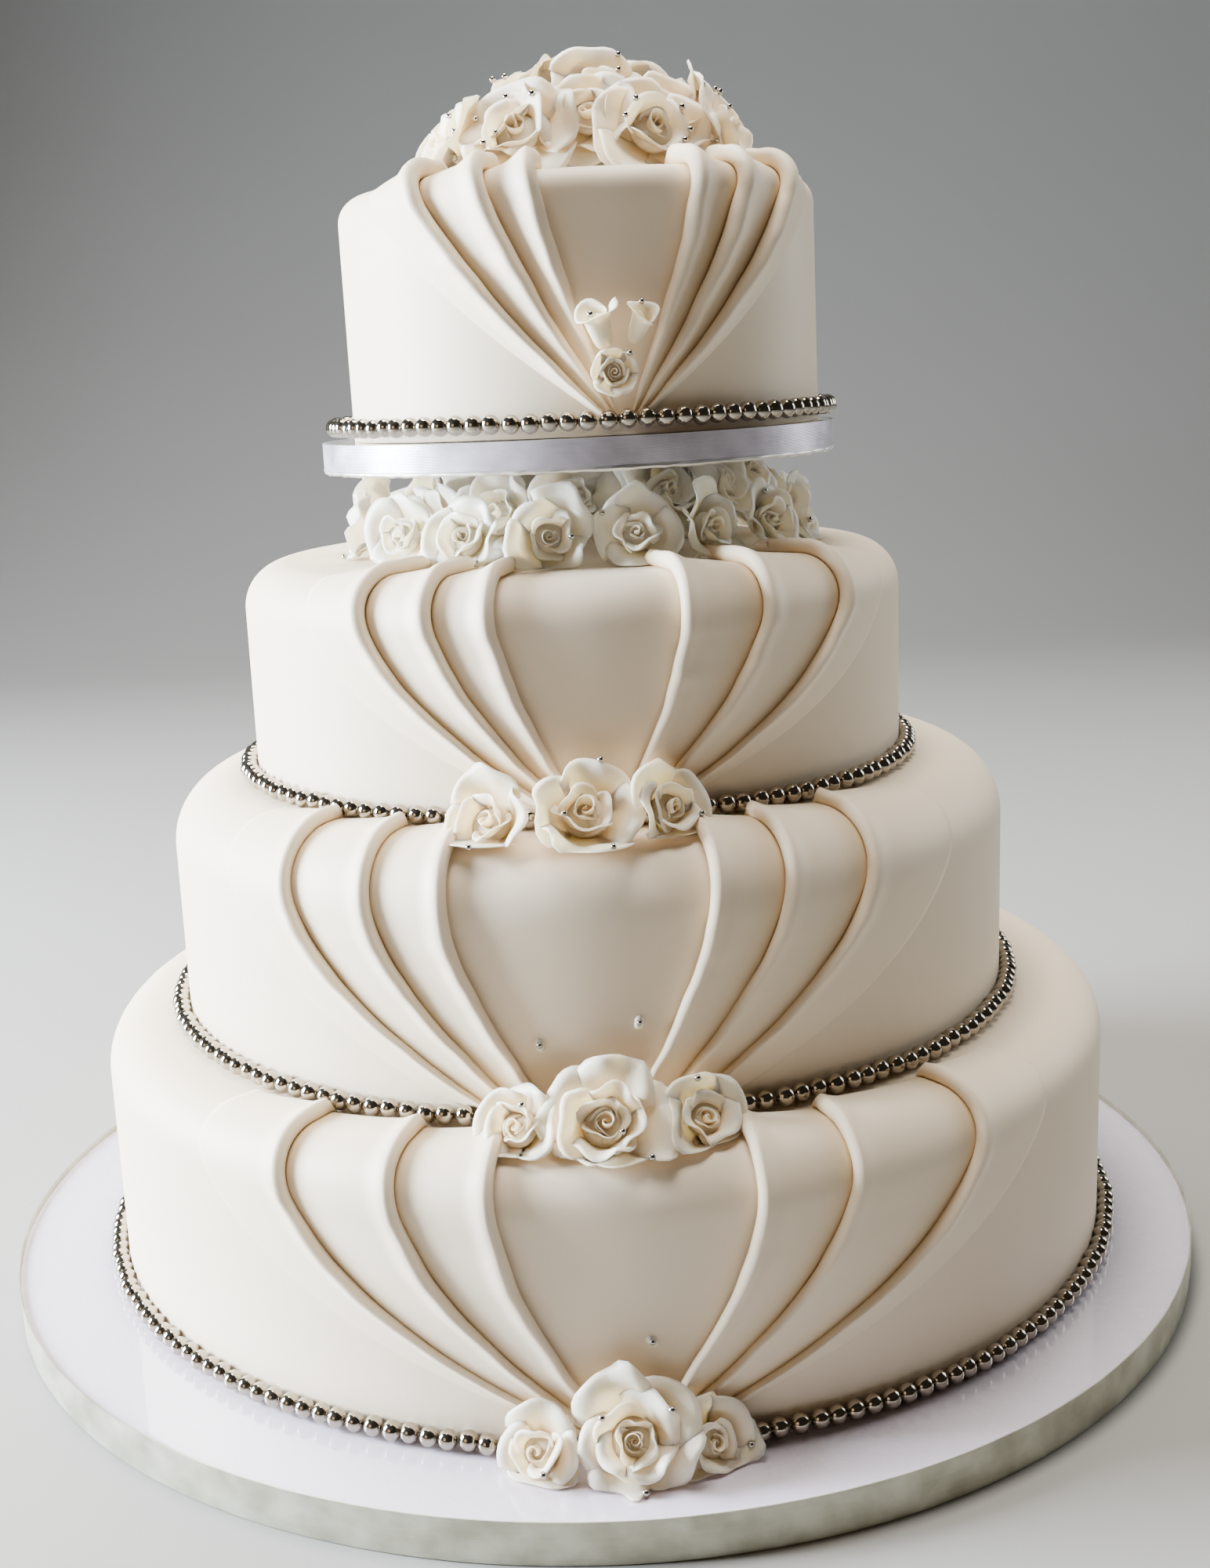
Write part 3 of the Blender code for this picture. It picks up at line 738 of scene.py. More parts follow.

# %% [markdown]
# ### The section of a strip
# Across a strip lies first the tube of its rolled edge, then a long fall, steep beside
# the ridge and even after it, and at last the thin part that runs under the next
# strip.  An attribute tells the finish how much painted golden shade each point gets,
# the most deep in a tuck.

# %% The section of a strip
TUBES = (0.0030, 0.0030, 0.0031, 0.0038)    # radius of the rolled edge on each tier
TUBE_STEPS = 12
TUBE_SHADE_STEPS = 9        # of them in the shade of the tuck
TUBE_LIFT = 0.0002
FALL_STEPS = 14
FALL_TUBES = 3.4            # how far a ridge falls away, in tubes
FALL_SHARE = 0.86           # and at most, in widths of the strip
RIDGE_SHARE = 0.42          # of its height; the rest falls evenly to the next tuck
RIDGE_POWER = 0.85
EVEN_POWER = 1.25
SHEET = 0.0021              # thickness of the strip beside its tube
SHEET_UNDER = 0.0012        # and where it runs under the next one
TUCK = 0.0016               # how far it runs under
FEATHER = 0.0003            # the smoothed outer edge of a wing
# How far the painted tuck shade reaches and how strong it is on each wing; it is stronger on the
# right wing, which lies in shade.
TUCK_SHADE_REACH = {-1: 0.0030, 1: 0.0058}    # how far from a tuck its tint fades, by wing
TUCK_SHADE_SHARE = {-1: 0.62, 1: 0.74}        # the right wing looks away from the window


def strip_section(width, tube, outer, shade_reach):
    """(distance from the crease, height, share of painted tuck shade) round one strip, from under
    its tube.
    """
    points = []
    # under the tube the painted tuck shade is full and fades up its side
    for step in range(TUBE_STEPS + 1):
        angle = math.radians(-90 - 180 * step / TUBE_STEPS)
        points.append((tube + tube * math.cos(angle), TUBE_LIFT + tube + tube * math.sin(angle),
                       max(0, 1 - step / TUBE_SHADE_STEPS)))
    fall = max(min(FALL_TUBES * tube, FALL_SHARE * width) - tube, MERGE)
    sheet = min(SHEET, 1.2 * tube)
    under = FEATHER if outer else min(SHEET_UNDER, 0.8 * tube)
    end = width if outer else width + min(TUCK, 0.5 * width)
    top = TUBE_LIFT + 2 * tube
    for step in range(1, FALL_STEPS + 1):
        share = step / FALL_STEPS
        distance = tube + (width - tube) * step / FALL_STEPS
        ridge = math.cos(math.pi * min(1.0, (distance - tube) / fall) ** RIDGE_POWER)
        slope = sheet + (under - sheet) * distance / width
        crest = RIDGE_SHARE * 0.5 * (1 + ridge) + (1 - RIDGE_SHARE) * (1 - share) ** EVEN_POWER
        # painted shade: strongest at the next tuck, fading away from it
        tuck_shade = 0.0 if outer else math.exp((distance - width) / shade_reach)
        points.append((distance, slope + (top - slope) * crest, tuck_shade))
    if not outer:
        points.append((end, 0.7 * under, 1.0))
    points.append((end, 0.0, 0.0 if outer else 1.0))
    points.append((tube, 0.0, 1.0))
    return points


print("points round a strip", len(strip_section(0.03, TUBES[0], False, TUCK_SHADE_REACH[1])))

# %% [markdown]
# ### Strips laid on the tier
# Hand-made pleats waver a little and swell from the foot to the shoulder.  Sums of slow
# sines give that without a random draw, so a pleat is smooth along its whole length.

# %% Make the drapes
CREASE_WAVER = 0.0006       # metres
TUBE_WAVER = 0.08           # share of its radius
TUBE_GROWTH = (0.55, 0.9)   # share of its radius at the foot, and how fast it grows
WIDEST_TUBE = 0.30          # in widths of the strip
END_ROWS = 3.0              # over which a strip's far end sinks


def wander(seed, step):
    """A slow, smooth irregularity between -1 and 1 along a strip."""
    return (math.sin(step * 5.1 + seed * 2.3) + 0.6 * math.sin(step * 11.7 + seed * 4.1)
            + 0.3 * math.sin(step * 23.0 + seed * 1.7)) / 1.9


def strip_grid(drape, side, number):
    """One strip of a wing, as a grid of its stations by the points of its section."""
    degrees = drape.wings[side]
    rows = pleat_rows(drape)
    outer = number == len(degrees) - 2
    seed = drape.tier.number * 10 + number * 3 + (5 if side > 0 else 0)
    grid = []
    tucked = []
    for step, (radius, height, out, up) in enumerate(rows):
        share = step / (len(rows) - 1)
        crease = drape.angle(degrees[number], height)
        crease += CREASE_WAVER / radius * wander(seed, 2 * share)
        width = (drape.angle(degrees[number + 1], height) - crease) * drape.tier.radius
        growth = min(1.0, TUBE_GROWTH[0] + TUBE_GROWTH[1] * share)
        tube = min(TUBES[drape.tier.number - 1] * growth, WIDEST_TUBE * width)
        tube *= 1 + TUBE_WAVER * wander(seed + 1, 3 * share)
        swell = min(1.0, (len(rows) - 1 - step + 0.25) / END_ROWS) ** 0.5
        section = strip_section(width, tube, outer, TUCK_SHADE_REACH[side])
        line = []
        for distance, lift, _ in section + section[:1]:
            angle = drape.turn + side * (crease + distance / drape.tier.radius)
            line.append(around(angle, radius + out * lift * swell, height + up * lift * swell))
        grid.append(line)
        # the painted tuck shade of each point, scaled by wing
        tucked.append([tuck_shade * TUCK_SHADE_SHARE[side] for _, _, tuck_shade in section + section[:1]])
    grid, tucked = np.array(grid, dtype=float), np.array(tucked, dtype=float)
    caps = [row.mean(axis=0)[None, None].repeat(len(row), axis=1) for row in (grid[0], grid[-1])]
    return (np.concatenate((caps[0], grid, caps[1])),
            np.concatenate((tucked[:1], tucked, tucked[-1:])))


for drape in drapes:
    name = f"pleated_drape_{drape.tier.number}"
    strips = [strip_grid(drape, side, number) for side in (-1, 1)
              for number in range(len(drape.wings[side]) - 1)]
    # the painted tuck shade goes into the mesh as an attribute
    mesh = woven(name, [grid for grid, _ in strips], "tucked", [tone for _, tone in strips],
                 drape.tier.place)
    finished(mesh, pleats, "pleated_fondant", f"drape_{drape.tier.number}")
    print(name, len(strips), "strips")

# %% [markdown]
# ## The strings of pearls
# Round each tier's foot lies a string of silvered beads on a thin thread.  This repeats
# hundreds of times along a path, so Geometry Nodes make it: points on a circle, each
# moved a hair, carry a bead of a slightly different size, and the same circle swept with
# a thin round section is the thread.

# %% Pearl strings
PEARL_PITCH = 0.00712
PEARL_RADIUS = 0.0037
PEARL_SPREAD = (0.97, 1.02)     # share of the radius
PEARL_SLACK = 0.0004            # how far a pearl lies off its circle
PEARL_STAND = (0.0003, 0.0003, 0.0003, 0.0020)      # each string above its tier's foot
BEAD_SEGMENTS, BEAD_RINGS = 12, 7
THREAD_RADIUS = 0.0005
THREAD_SIDES = 5
NODE_PEARL = 0.0032             # the string's radius on the construction


def pearl_string_tree():
    shape = Shape("pearl string", ("Ring radius", "Pearl radius", "Unevenness"),
                  ("Pearls", "Seed"))
    seed = shape.size["Seed"]
    slack = shape.size["Unevenness"]
    ring = shape.node("GeometryNodeCurvePrimitiveCircle", {"mode": "RADIUS"},
                      {"Resolution": shape.size["Pearls"], "Radius": shape.size["Ring radius"]})
    aside = shape.node("ShaderNodeCombineXYZ", None, (slack, slack, slack * 0.6))
    back = shape.node("ShaderNodeVectorMath", {"operation": "SCALE"}, {0: aside, "Scale": -1.0})
    shift = shape.drawn("FLOAT_VECTOR", back, aside, seed)
    strung = shape.node("GeometryNodeSetPosition", None, {"Geometry": ring, "Offset": shift})
    bead = shape.node("GeometryNodeMeshUVSphere", None,
                      {"Segments": BEAD_SEGMENTS, "Rings": BEAD_RINGS,
                       "Radius": shape.size["Pearl radius"]})
    spread = shape.drawn("FLOAT", *PEARL_SPREAD, seed + 1)
    turn = shape.drawn("FLOAT_VECTOR", (0.0, 0.0, 0.0), (0.5, 0.5, math.tau), seed + 2)
    beads = shape.node("GeometryNodeInstanceOnPoints", None,
                       {"Points": strung, "Instance": bead, "Scale": spread, "Rotation": turn})
    section = shape.node("GeometryNodeCurvePrimitiveCircle", {"mode": "RADIUS"},
                         {"Resolution": THREAD_SIDES, "Radius": THREAD_RADIUS})
    thread = shape.node("GeometryNodeCurveToMesh", None,
                        {"Curve": strung, "Profile Curve": section})
    both = shape.tree.nodes.new("GeometryNodeJoinGeometry")
    for part in (beads, thread):
        shape.tree.links.new(part.socket, both.inputs[0])
    shape.close(Value(shape, both.outputs[0]), pearl_silver)
    return shape


pearl_string = pearl_string_tree()
for tier, stand in zip(tiers, PEARL_STAND):
    low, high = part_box(f"bead_string_{tier.number}")
    ring = (high.y - low.y) / 2 - NODE_PEARL
    off_axis = (tier.place.inverted() @ ((low + high) / 2)).x
    place = tier.place @ Matrix.Translation((off_axis, 0, PEARL_RADIUS + stand))
    count = round(math.tau * ring / PEARL_PITCH)
    mesh = pearl_string.grown(f"pearl_string_{tier.number}", {
        "Ring radius": ring, "Pearl radius": PEARL_RADIUS,
        "Unevenness": PEARL_SLACK, "Pearls": count, "Seed": tier.number}, place)
    finished(mesh, pearl_silver, "silver_pearl", f"bead_string_{tier.number}")
    print(mesh.name, count, "pearls of", round(PEARL_RADIUS * 2000, 1), "mm")

# %% [markdown]
# ## Boards, ribbons and pillars
# A cake board is a thick disc of card covered with paper.  It could be a cylinder with a
# bevel, but a turned outline gives the soft edge at once and keeps the faces even.

# %% Boards
BOARD_SEGMENTS = 180
EDGE_ROUND = 0.0012
EDGE_STEPS = 3
RIM = 0.004                 # the last loop of the flat faces lies this far in


def board_outline(radius, height):
    """From the underside's middle round the soft edge to the top's middle."""
    outline = [(0.0, 0.0), (radius - RIM, 0.0), (radius - EDGE_ROUND, 0.0)]
    for middle, start in ((EDGE_ROUND, -90), (height - EDGE_ROUND, 0)):
        for step in range(EDGE_STEPS + 1):
            angle = math.radians(90 / EDGE_STEPS * step + start)
            outline.append((radius - EDGE_ROUND + EDGE_ROUND * math.cos(angle),
                            middle + EDGE_ROUND * math.sin(angle)))
    return outline + [(radius - RIM, height), (0.0, height)]


for node, board, finish in (("base_board", base_board, board_paper),
                            ("upper_board", upper_board, upper_paper)):
    outline = board_outline(board.radius, board.height)
    mesh = woven(f"{node}_drum", [turned(outline, BOARD_SEGMENTS)], place=board.place)
    finished(mesh, finish, node, node)

# %% [markdown]
# A ribbon is a long thin band that is wound once round its board and glued over its own
# end at the back.  It gets a UV map in metres along it, so the satin's threads run with
# it, slight waves where it isn't quite tight, and a lap.

# %% Ribbons
RIBBON_THICKNESS = 0.0004
RIBBON_COLUMNS = 360
RIBBON_ROWS = 9
RIBBON_WAVES = 0.00025
LAP_LENGTH = 0.022
LAP_COLUMNS = 14
LAP_ANGLE = math.pi             # the end is glued at the back


def ribbon_mesh(name, outside, height, place, waves):
    """A band wound once round, with its glued lap, and a UV map in metres."""
    grids = []
    runs = ((0.0, math.tau, 0.0, RIBBON_COLUMNS, True),
            (LAP_ANGLE, LAP_LENGTH / outside, RIBBON_THICKNESS, LAP_COLUMNS, False))
    for start, sweep, lift, columns, whole in runs:
        inner = []
        outer = []
        for row in range(RIBBON_ROWS):
            level = height * row / (RIBBON_ROWS - 1)
            belly = math.sin(math.pi * row / (RIBBON_ROWS - 1))
            for line, depth in ((inner, RIBBON_THICKNESS), (outer, 0.0)):
                points = []
                for column in range(columns + 1):
                    angle = start + sweep * ((column % columns) if whole else column) / columns
                    slack = waves * (0.5 + 0.5 * math.sin(17 * angle + 2 * math.sin(5 * angle)))
                    radius = (outside - 2 * RIBBON_THICKNESS - waves - depth + lift
                              + slack * (0.35 + 0.65 * belly))
                    points.append(around(angle, radius, level))
                line.append(points)
        grid = np.array(outer + inner[::-1] + outer[:1], dtype=float)
        if not whole:
            ends = [edge.mean(axis=0, keepdims=True).repeat(len(grid), axis=0)
                    for edge in (grid[:, :1], grid[:, -1:])]
            grid = np.concatenate((ends[0], grid, ends[1]), axis=1)
        grids.append(grid)
    mesh = woven(name, grids)
    run = mesh.uv_layers.new(name="ribbon")
    for face in mesh.polygons:
        middle = math.atan2(face.center.x, -face.center.y)
        for loop in face.loop_indices:
            point = mesh.vertices[mesh.loops[loop].vertex_index].co
            angle = math.atan2(point.x, -point.y)
            angle += math.tau * round((middle - angle) / math.tau)
            run.data[loop].uv = (angle * outside, point.z)
    mesh.transform(place)
    mesh.set_sharp_from_angle(angle=math.radians(50))
    return mesh


for node, lean, finish in (("base_ribbon", 0.0, pearl_satin),
                           ("upper_ribbon", UPPER_LEAN, lilac_satin)):
    ribbon = Round(node, lean)
    mesh = ribbon_mesh(f"{node}_satin", ribbon.radius, ribbon.height, ribbon.place, RIBBON_WAVES)
    finished(mesh, finish, node, node)
    print(mesh.name, "round", round(math.tau * ribbon.radius, 2), "m")

# %% [markdown]
# The upper board is wrapped in silver foil, cut roughly, and a narrow rim of it shows
# below the ribbon.

# %% Foil edge of the upper board
FOIL_SEGMENTS = 420
FOIL_CREASE = 0.0001
FOIL_CUT = 0.0003           # how far the cut edge runs up and down
FOIL_OUTSIDE = 0.0001       # outside the board
FOIL_OUTLINE = ((-0.0016, 0.0004), (-0.0014, -0.0007), (-0.0002, -0.0009),
                (0.0002, 0.0008), (-0.0016, 0.0004))    # off the foil's radius, and height


def ragged(angle, radius, height):
    cut = (math.sin(61 * angle) + math.sin(97 * angle + 1) + math.sin(23 * angle + 2)) / 3
    return FOIL_CREASE * math.sin(47 * angle), FOIL_CUT * cut if height < 0 else 0.0


foil_radius = upper_board.radius + FOIL_OUTSIDE
foil_line = [(foil_radius + out, height) for out, height in FOIL_OUTLINE]
mesh = woven("foil_edge", [turned(foil_line, FOIL_SEGMENTS, ragged)], place=upper_board.place)
finished(mesh, silver_foil, "upper_board")

# %% [markdown]
# The pillars are cast plaster: a plain round column with a small plinth at each end.  One
# half of the outline is written down and the other is its mirror image.

# %% Pillars
PILLAR_SEGMENTS = 48
CHAMFER, CHAMFER_TOP = 0.001, 0.0008
PLINTH, NECK, SHAFT = 0.004, 0.0055, 0.008      # heights of the plinth's parts
NECK_SHARE, SHAFT_SHARE = 0.94, 0.92            # of the plinth's radius

for number in range(1, 5):
    low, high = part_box(f"pillar_{number}")
    radius = (high.y - low.y) / 2
    tall = high.z - low.z
    half = [(0, 0), (radius - CHAMFER, 0), (radius, CHAMFER_TOP), (radius, PLINTH),
            (radius * NECK_SHARE, NECK), (radius * SHAFT_SHARE, SHAFT)]
    outline = half + [(reach, tall - rise) for reach, rise in reversed(half)]
    middle = (low + high) / 2
    mesh = woven(f"cake_pillar_{number}", [turned(outline, PILLAR_SEGMENTS)],
                 place=Matrix.Translation((middle.x, middle.y, low.z)))
    mesh.set_sharp_from_angle(angle=math.radians(35))
    finished(mesh, plaster, "pillar", f"pillar_{number}")
    print(mesh.name, round(tall * 1000, 1), "mm tall")

# %% [markdown]
# ## Sugar roses
# A rose is built as a sugar florist builds it: a strip rolled into a spiral heart, then
# whorls of petals, each whorl wider and more open than the one before.  A petal is a
# grid.  Along it, it goes out and up like a cup or up and out like a trumpet, and its lip
# curls back; across it, it wraps round the heart, one side over its neighbour and the
# other under.  A seeded random draw makes each petal a little different.

# %% Sheets of paste
PETAL_THICKNESS = 0.00048
FINE_PETAL = 0.00036
RIM_SHARE, SIDE_SHARE = 0.55, 0.7   # of the thickness, at the lip and the sides
TINY = 1e-12                        # keeps a divisor from being 0


def moved(points, place):
    """A grid of points, moved into the frame of a 4 x 4 matrix."""
    place = np.array(place)
    return points @ place[:3, :3].T + place[:3, 3]


def eased(value, low, high):
    """0 below low, 1 above high, smooth between."""
    share = np.clip((value - low) / (high - low), 0, 1)
    return share * share * (3 - 2 * share)


def shares(rows, columns, low=0.0):
    """For each point of a sheet: 0 to 1 from foot to rim, and low to 1 from side to side."""
    along = np.linspace(0, 1, rows)[:, None] + np.zeros((1, columns))
    across = np.linspace(low, 1, columns)[None, :] + np.zeros((rows, 1))
    return along, across


def about_axis(radius, angle, height, size):
    """Points from shares of the rose's radius, about its axis."""
    return np.stack((radius * np.cos(angle), radius * np.sin(angle), height), axis=-1) * size


def pillow(points, thickness):
    """Close a sheet of points into a thin shell with a soft rim."""
    along = np.gradient(points, axis=0)
    across = np.gradient(points, axis=1)
    normal = np.cross(along, across)
    normal /= np.maximum(np.linalg.norm(normal, axis=2, keepdims=True), TINY)
    half = np.full(points.shape[:2] + (1,), thickness / 2)
    half[-1] *= RIM_SHARE
    half[:, 0] *= SIDE_SHARE
    half[:, -1] *= SIDE_SHARE
    front = points + normal * half
    back = points - normal * half
    loop = np.concatenate((front, points[:, -1:], back[:, ::-1], points[:, :1],
                           front[:, :1]), axis=1)
    columns = points.shape[1]
    order = [*range(columns), columns - 1, *range(columns - 1, -1, -1), 0, 0]
    first = points[0][order][None]
    last = points[-1][order][None]
    return np.concatenate((first, loop, last), axis=0), order


# %% [markdown]
# ### Whorls
# A florist cuts petals in a few sizes and sets each size as one ring.  So a rose is
# written as a short table of whorls, and the kinds of rose on this cake differ only in
# their tables: full, half-open, thin, cupped and open ones, and one small rosette.

# %% Whorls of petals
class Whorl:
    """One ring of petals, in shares of the rose's radius and degrees from its axis."""

    def __init__(self, petals, span, foot, length, start, middle, lip):
        self.petals = petals
        self.span = math.radians(span)      # half the angle that a petal wraps
        self.foot = foot
        self.length = length
        self.start = math.radians(start)    # how far it leans out at its foot
        self.middle = math.radians(middle)  # half way up
        self.lip = math.radians(lip)        # how much further its lip rolls back


WHORLS = (
    Whorl(2, 95, 0.06, 0.62, 44, -6, 24),
    Whorl(3, 80, 0.09, 0.84, 60, 2, 48),
    Whorl(4, 62, 0.11, 1.04, 74, 20, 74),
    Whorl(5, 50, 0.13, 1.28, 86, 46, 84),
)
HALF_OPEN = (
    Whorl(2, 95, 0.06, 0.66, 46, -2, 30),
    Whorl(3, 84, 0.09, 0.94, 64, 10, 52),
    Whorl(4, 64, 0.12, 1.20, 80, 38, 74),
)
THIN = (
    Whorl(2, 95, 0.06, 0.62, 46, -4, 20),
    Whorl(3, 82, 0.08, 0.90, 62, 10, 36),
    Whorl(5, 56, 0.12, 1.24, 80, 38, 44),
)
CUPPED = (
    Whorl(2, 95, 0.06, 0.62, 46, -4, 24),
    Whorl(3, 80, 0.09, 0.90, 62, 8, 46),
    Whorl(4, 60, 0.12, 1.20, 80, 34, 62),
)
OPEN = (
    Whorl(2, 95, 0.06, 0.60, 46, -4, 20),
    Whorl(3, 82, 0.08, 0.84, 64, 18, 36),
    Whorl(5, 58, 0.12, 1.16, 84, 56, 26),
)
ROSETTE = (
    Whorl(2, 100, 0.08, 0.66, 50, 0, 12),
    Whorl(4, 66, 0.10, 0.86, 68, 12, 22),
    Whorl(5, 54, 0.12, 1.10, 84, 36, 36),
)
print("petals of a full rose", sum(whorl.petals for whorl in WHORLS))

# %% [markdown]
# ### One petal
# A petal's line from foot to lip is the running sum of small steps, each at its own
# angle, so a change of angle bends the petal and never stretches it.  Each draw below is
# one thing that a florist's fingers do differently from petal to petal.

# %% One petal
PETAL_ROWS = 12
PETAL_COLUMNS = 15
FOOT_DEPTH = 0.46           # how far the petals' feet lie below the rose's middle
LENGTH_DRAW = (-0.14, 0.12)     # share of the length
LEAN_DRAW = (-0.20, 0.24)       # radians outwards
TWIST_DRAW = (-0.30, 0.30)      # radians from one side to the other
PINCH_PLACE = (-0.6, 0.6)
PINCH_DRAW = (0.0, 0.05, 0.12)  # a pinched tip, as a share of the length
PINCH_WIDTH = 0.20
ROLL_DRAW = (0.6, 1.35)         # share of the whorl's lip
DRIFT = 0.12                    # radians round the rose
ROUNDED_SIDES = 0.34            # how much shorter a petal is at its sides
ROLL_WAVES = 0.28
FRILL = 0.18                    # radians
CORNERS_OUT = 0.28              # how far the sides stand out from the round
OVERLAP = 0.05                  # one side over the neighbour, the other under


def petal_sheet(whorl, turn, size, dice, wild):
    """The points of one petal, about a rose that faces +Z."""
    along, across = shares(PETAL_ROWS, PETAL_COLUMNS, -1.0)
    length = whorl.length * (1 + wild * dice.uniform(*LENGTH_DRAW))
    lean = wild * dice.uniform(*LEAN_DRAW)
    twist = wild * dice.uniform(*TWIST_DRAW)
    pinch_at = dice.uniform(*PINCH_PLACE)
    pinch = dice.choice(PINCH_DRAW) * wild
    roll = whorl.lip * dice.uniform(*ROLL_DRAW)
    wave = dice.uniform(0, math.tau)
    crown = np.exp(-((across - pinch_at) / PINCH_WIDTH) ** 2)
    reach = length * (1 - ROUNDED_SIDES * np.abs(across) ** 2.6 + pinch * crown)
    angle = whorl.start + (whorl.middle - whorl.start) * eased(along, 0.0, 0.55)
    angle = angle + lean * along + twist * across * along
    rolled = roll * (1 + ROLL_WAVES * np.cos(1.35 * math.pi * across + wave))
    rolled = rolled * (1 - 0.5 * crown * (pinch > 0))
    angle = angle + rolled * eased(along, 0.66, 1.08)
    frill = FRILL * wild * min(1.0, whorl.length) ** 2
    angle = angle + frill * np.sin(1.9 * math.pi * across + 2 * wave) * eased(along, 0.35, 0.9)
    step = reach / (PETAL_ROWS - 1)
    radius = whorl.foot + np.cumsum(np.sin(angle) * step, axis=0) - np.sin(angle[:1]) * step
    height = np.cumsum(np.cos(angle) * step, axis=0) - np.cos(angle[:1]) * step - FOOT_DEPTH
    wrap = 0.50 + 0.50 * np.sin(math.pi / 2 * np.minimum(along / 0.75, 1))
    spread = whorl.span * across * wrap
    radius = radius * (1 + CORNERS_OUT * (1 / np.cos(np.minimum(np.abs(spread), 1.05)) - 1))
    radius = radius + OVERLAP * across * along
    turned_by = turn + spread + DRIFT * wild * dice.uniform(-1, 1) * along
    return about_axis(radius, turned_by, height, size), along


# %% [markdown]
# ### The heart and the whole rose
# The heart is one petal rolled up into a loose spiral round a cone of paste.  The whorls
# follow, each turned a little against the one before.  Every sheet is then closed into a
# thin shell, so a rose is a solid piece of sugar from all sides.

# %% The spiral heart and the whole rose
HEART_ROWS, HEART_COLUMNS = 8, 30
HEART_TURNS = 1.45
# the low rim shares of the heart and the cone keep them in painted golden shade
HEART_RIM = 0.45            # the heart's own rim is still creamy
CORE_RIM = 0.3
CORE_OUTLINE = ((0.03, 0.02), (0.24, 0.06), (0.38, 0.20), (0.42, 0.33), (0.34, 0.41),
                (0.20, 0.45), (0.02, 0.47))     # radius and height in shares of the rose
PLACE_DRAW = 0.13           # share of a petal's place in its whorl
WHORL_TURN = 0.4            # radians between whorls, past half a petal


def heart_sheet(size, dice, wild):
    """A petal rolled into a loose spiral, the heart of a rose."""
    along, across = shares(HEART_ROWS, HEART_COLUMNS)
    angle = dice.uniform(0, math.tau) + math.tau * HEART_TURNS * across
    radius = 0.035 + 0.155 * across ** 0.8 + 0.03 * eased(along, 0.7, 1.0) * across
    radius = radius * (1 - 0.25 * along * (1 - across))
    top = 0.66 + 0.10 * np.sin(2.2 * math.tau * across / 2 + dice.uniform(0, 6)) * wild
    return about_axis(radius, angle, top * along - FOOT_DEPTH, size), HEART_RIM * along


def core_sheet(size):
    """The cone of paste that the petals are wrapped round, seen deep in the heart."""
    line = np.array(CORE_OUTLINE)
    angle = np.linspace(0, math.tau, 17)[None, :]
    points = about_axis(line[:, :1], angle, line[:, 1:] - FOOT_DEPTH + 0 * angle, size)
    return points, np.full(points.shape[:2], CORE_RIM)


def rose_sheets(size, seed, whorls=WHORLS, wild=1.0):
    """All the sheets of a rose, with the share from foot to rim at each point."""
    dice = random.Random(seed)
    sheets = [core_sheet(size), heart_sheet(size, dice, wild)]
    turn = dice.uniform(0, math.tau)
    for whorl in whorls:
        for number in range(whorl.petals):
            aside = number + wild * dice.uniform(-PLACE_DRAW, PLACE_DRAW)
            sheets.append(petal_sheet(whorl, turn + math.tau * aside / whorl.petals, size,
                                      dice, wild))
        turn += math.pi / whorl.petals + WHORL_TURN
    return sheets


def planted(sheets, place):
    """The sheets of a rose, moved to its place."""
    return [(moved(points, place), rim) for points, rim in sheets]


def rose_mesh(name, sheets, keep, thickness=PETAL_THICKNESS):
    """Close every planted sheet into a petal.  keep presses its points off a surface."""
    grids = []
    rims = []
    for points, rim in sheets:
        grid, order = pillow(keep(points), thickness)
        rows = np.concatenate((rim[:1], rim, rim[-1:]))
        grids.append(grid)
        rims.append(rows[:, order])
    return woven(name, grids, "rim", rims)


def facing_place(centre, facing, spin=0.0):
    """The frame of a flower: its +Z looks along facing."""
    turn = Vector(facing).normalized().to_track_quat("Z", "Y").to_matrix().to_4x4()
    return Matrix.Translation(centre) @ turn @ Matrix.Rotation(spin, 4, "Z")


print("sheets of a full rose", len(rose_sheets(1.0, 0)))

# %% [markdown]
# ### Where the roses sit
# Each rose takes its middle from its node.  The three at a drape's foot lean back on the
# tier.  Petals that would go into the cake are pressed flat on it, as soft sugar paste
# would be.

# %% Roses at the foot of each drape
FONDANT_GAP = 0.0012        # petals keep this far off a tier's side
SHELF_GAP = 0.0007          # and off the shelf below it
CLUSTER_FORWARD = (0.0, 0.0045, 0.0035)     # for each tier
# aside and up in degrees, radius in metres, seed, whorls, and the shift to the right and
# up from the node's middle in metres
CLUSTER_ROSES = {
    "rose_1_1": (-18, 26, 0.0148, 21, HALF_OPEN, -0.0005, 0.0),
    "rose_1_2": (-3, 28, 0.0176, 12, WHORLS, -0.0012, 0.0010),
    "rose_1_3": (16, 18, 0.0140, 33, HALF_OPEN, -0.0050, 0.0),
    "rose_2_1": (-16, 34, 0.0152, 14, HALF_OPEN, -0.0030, -0.0025),
    "rose_2_2": (3, 36, 0.0188, 17, WHORLS, -0.0022, -0.0045),
    "rose_2_3": (14, 34, 0.0146, 27, HALF_OPEN, 0.0010, -0.0015),
    "rose_3_1": (-16, 34, 0.0170, 18, CUPPED, -0.0020, -0.0035),
    "rose_3_2": (4, 44, 0.0200, 11, CUPPED, -0.0012, -0.0030),
    "rose_3_3": (30, 24, 0.0150, 29, HALF_OPEN, 0.0, -0.0010),
}
roses = {}


def node_middle(node):
    low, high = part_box(node)
    return (low + high) / 2


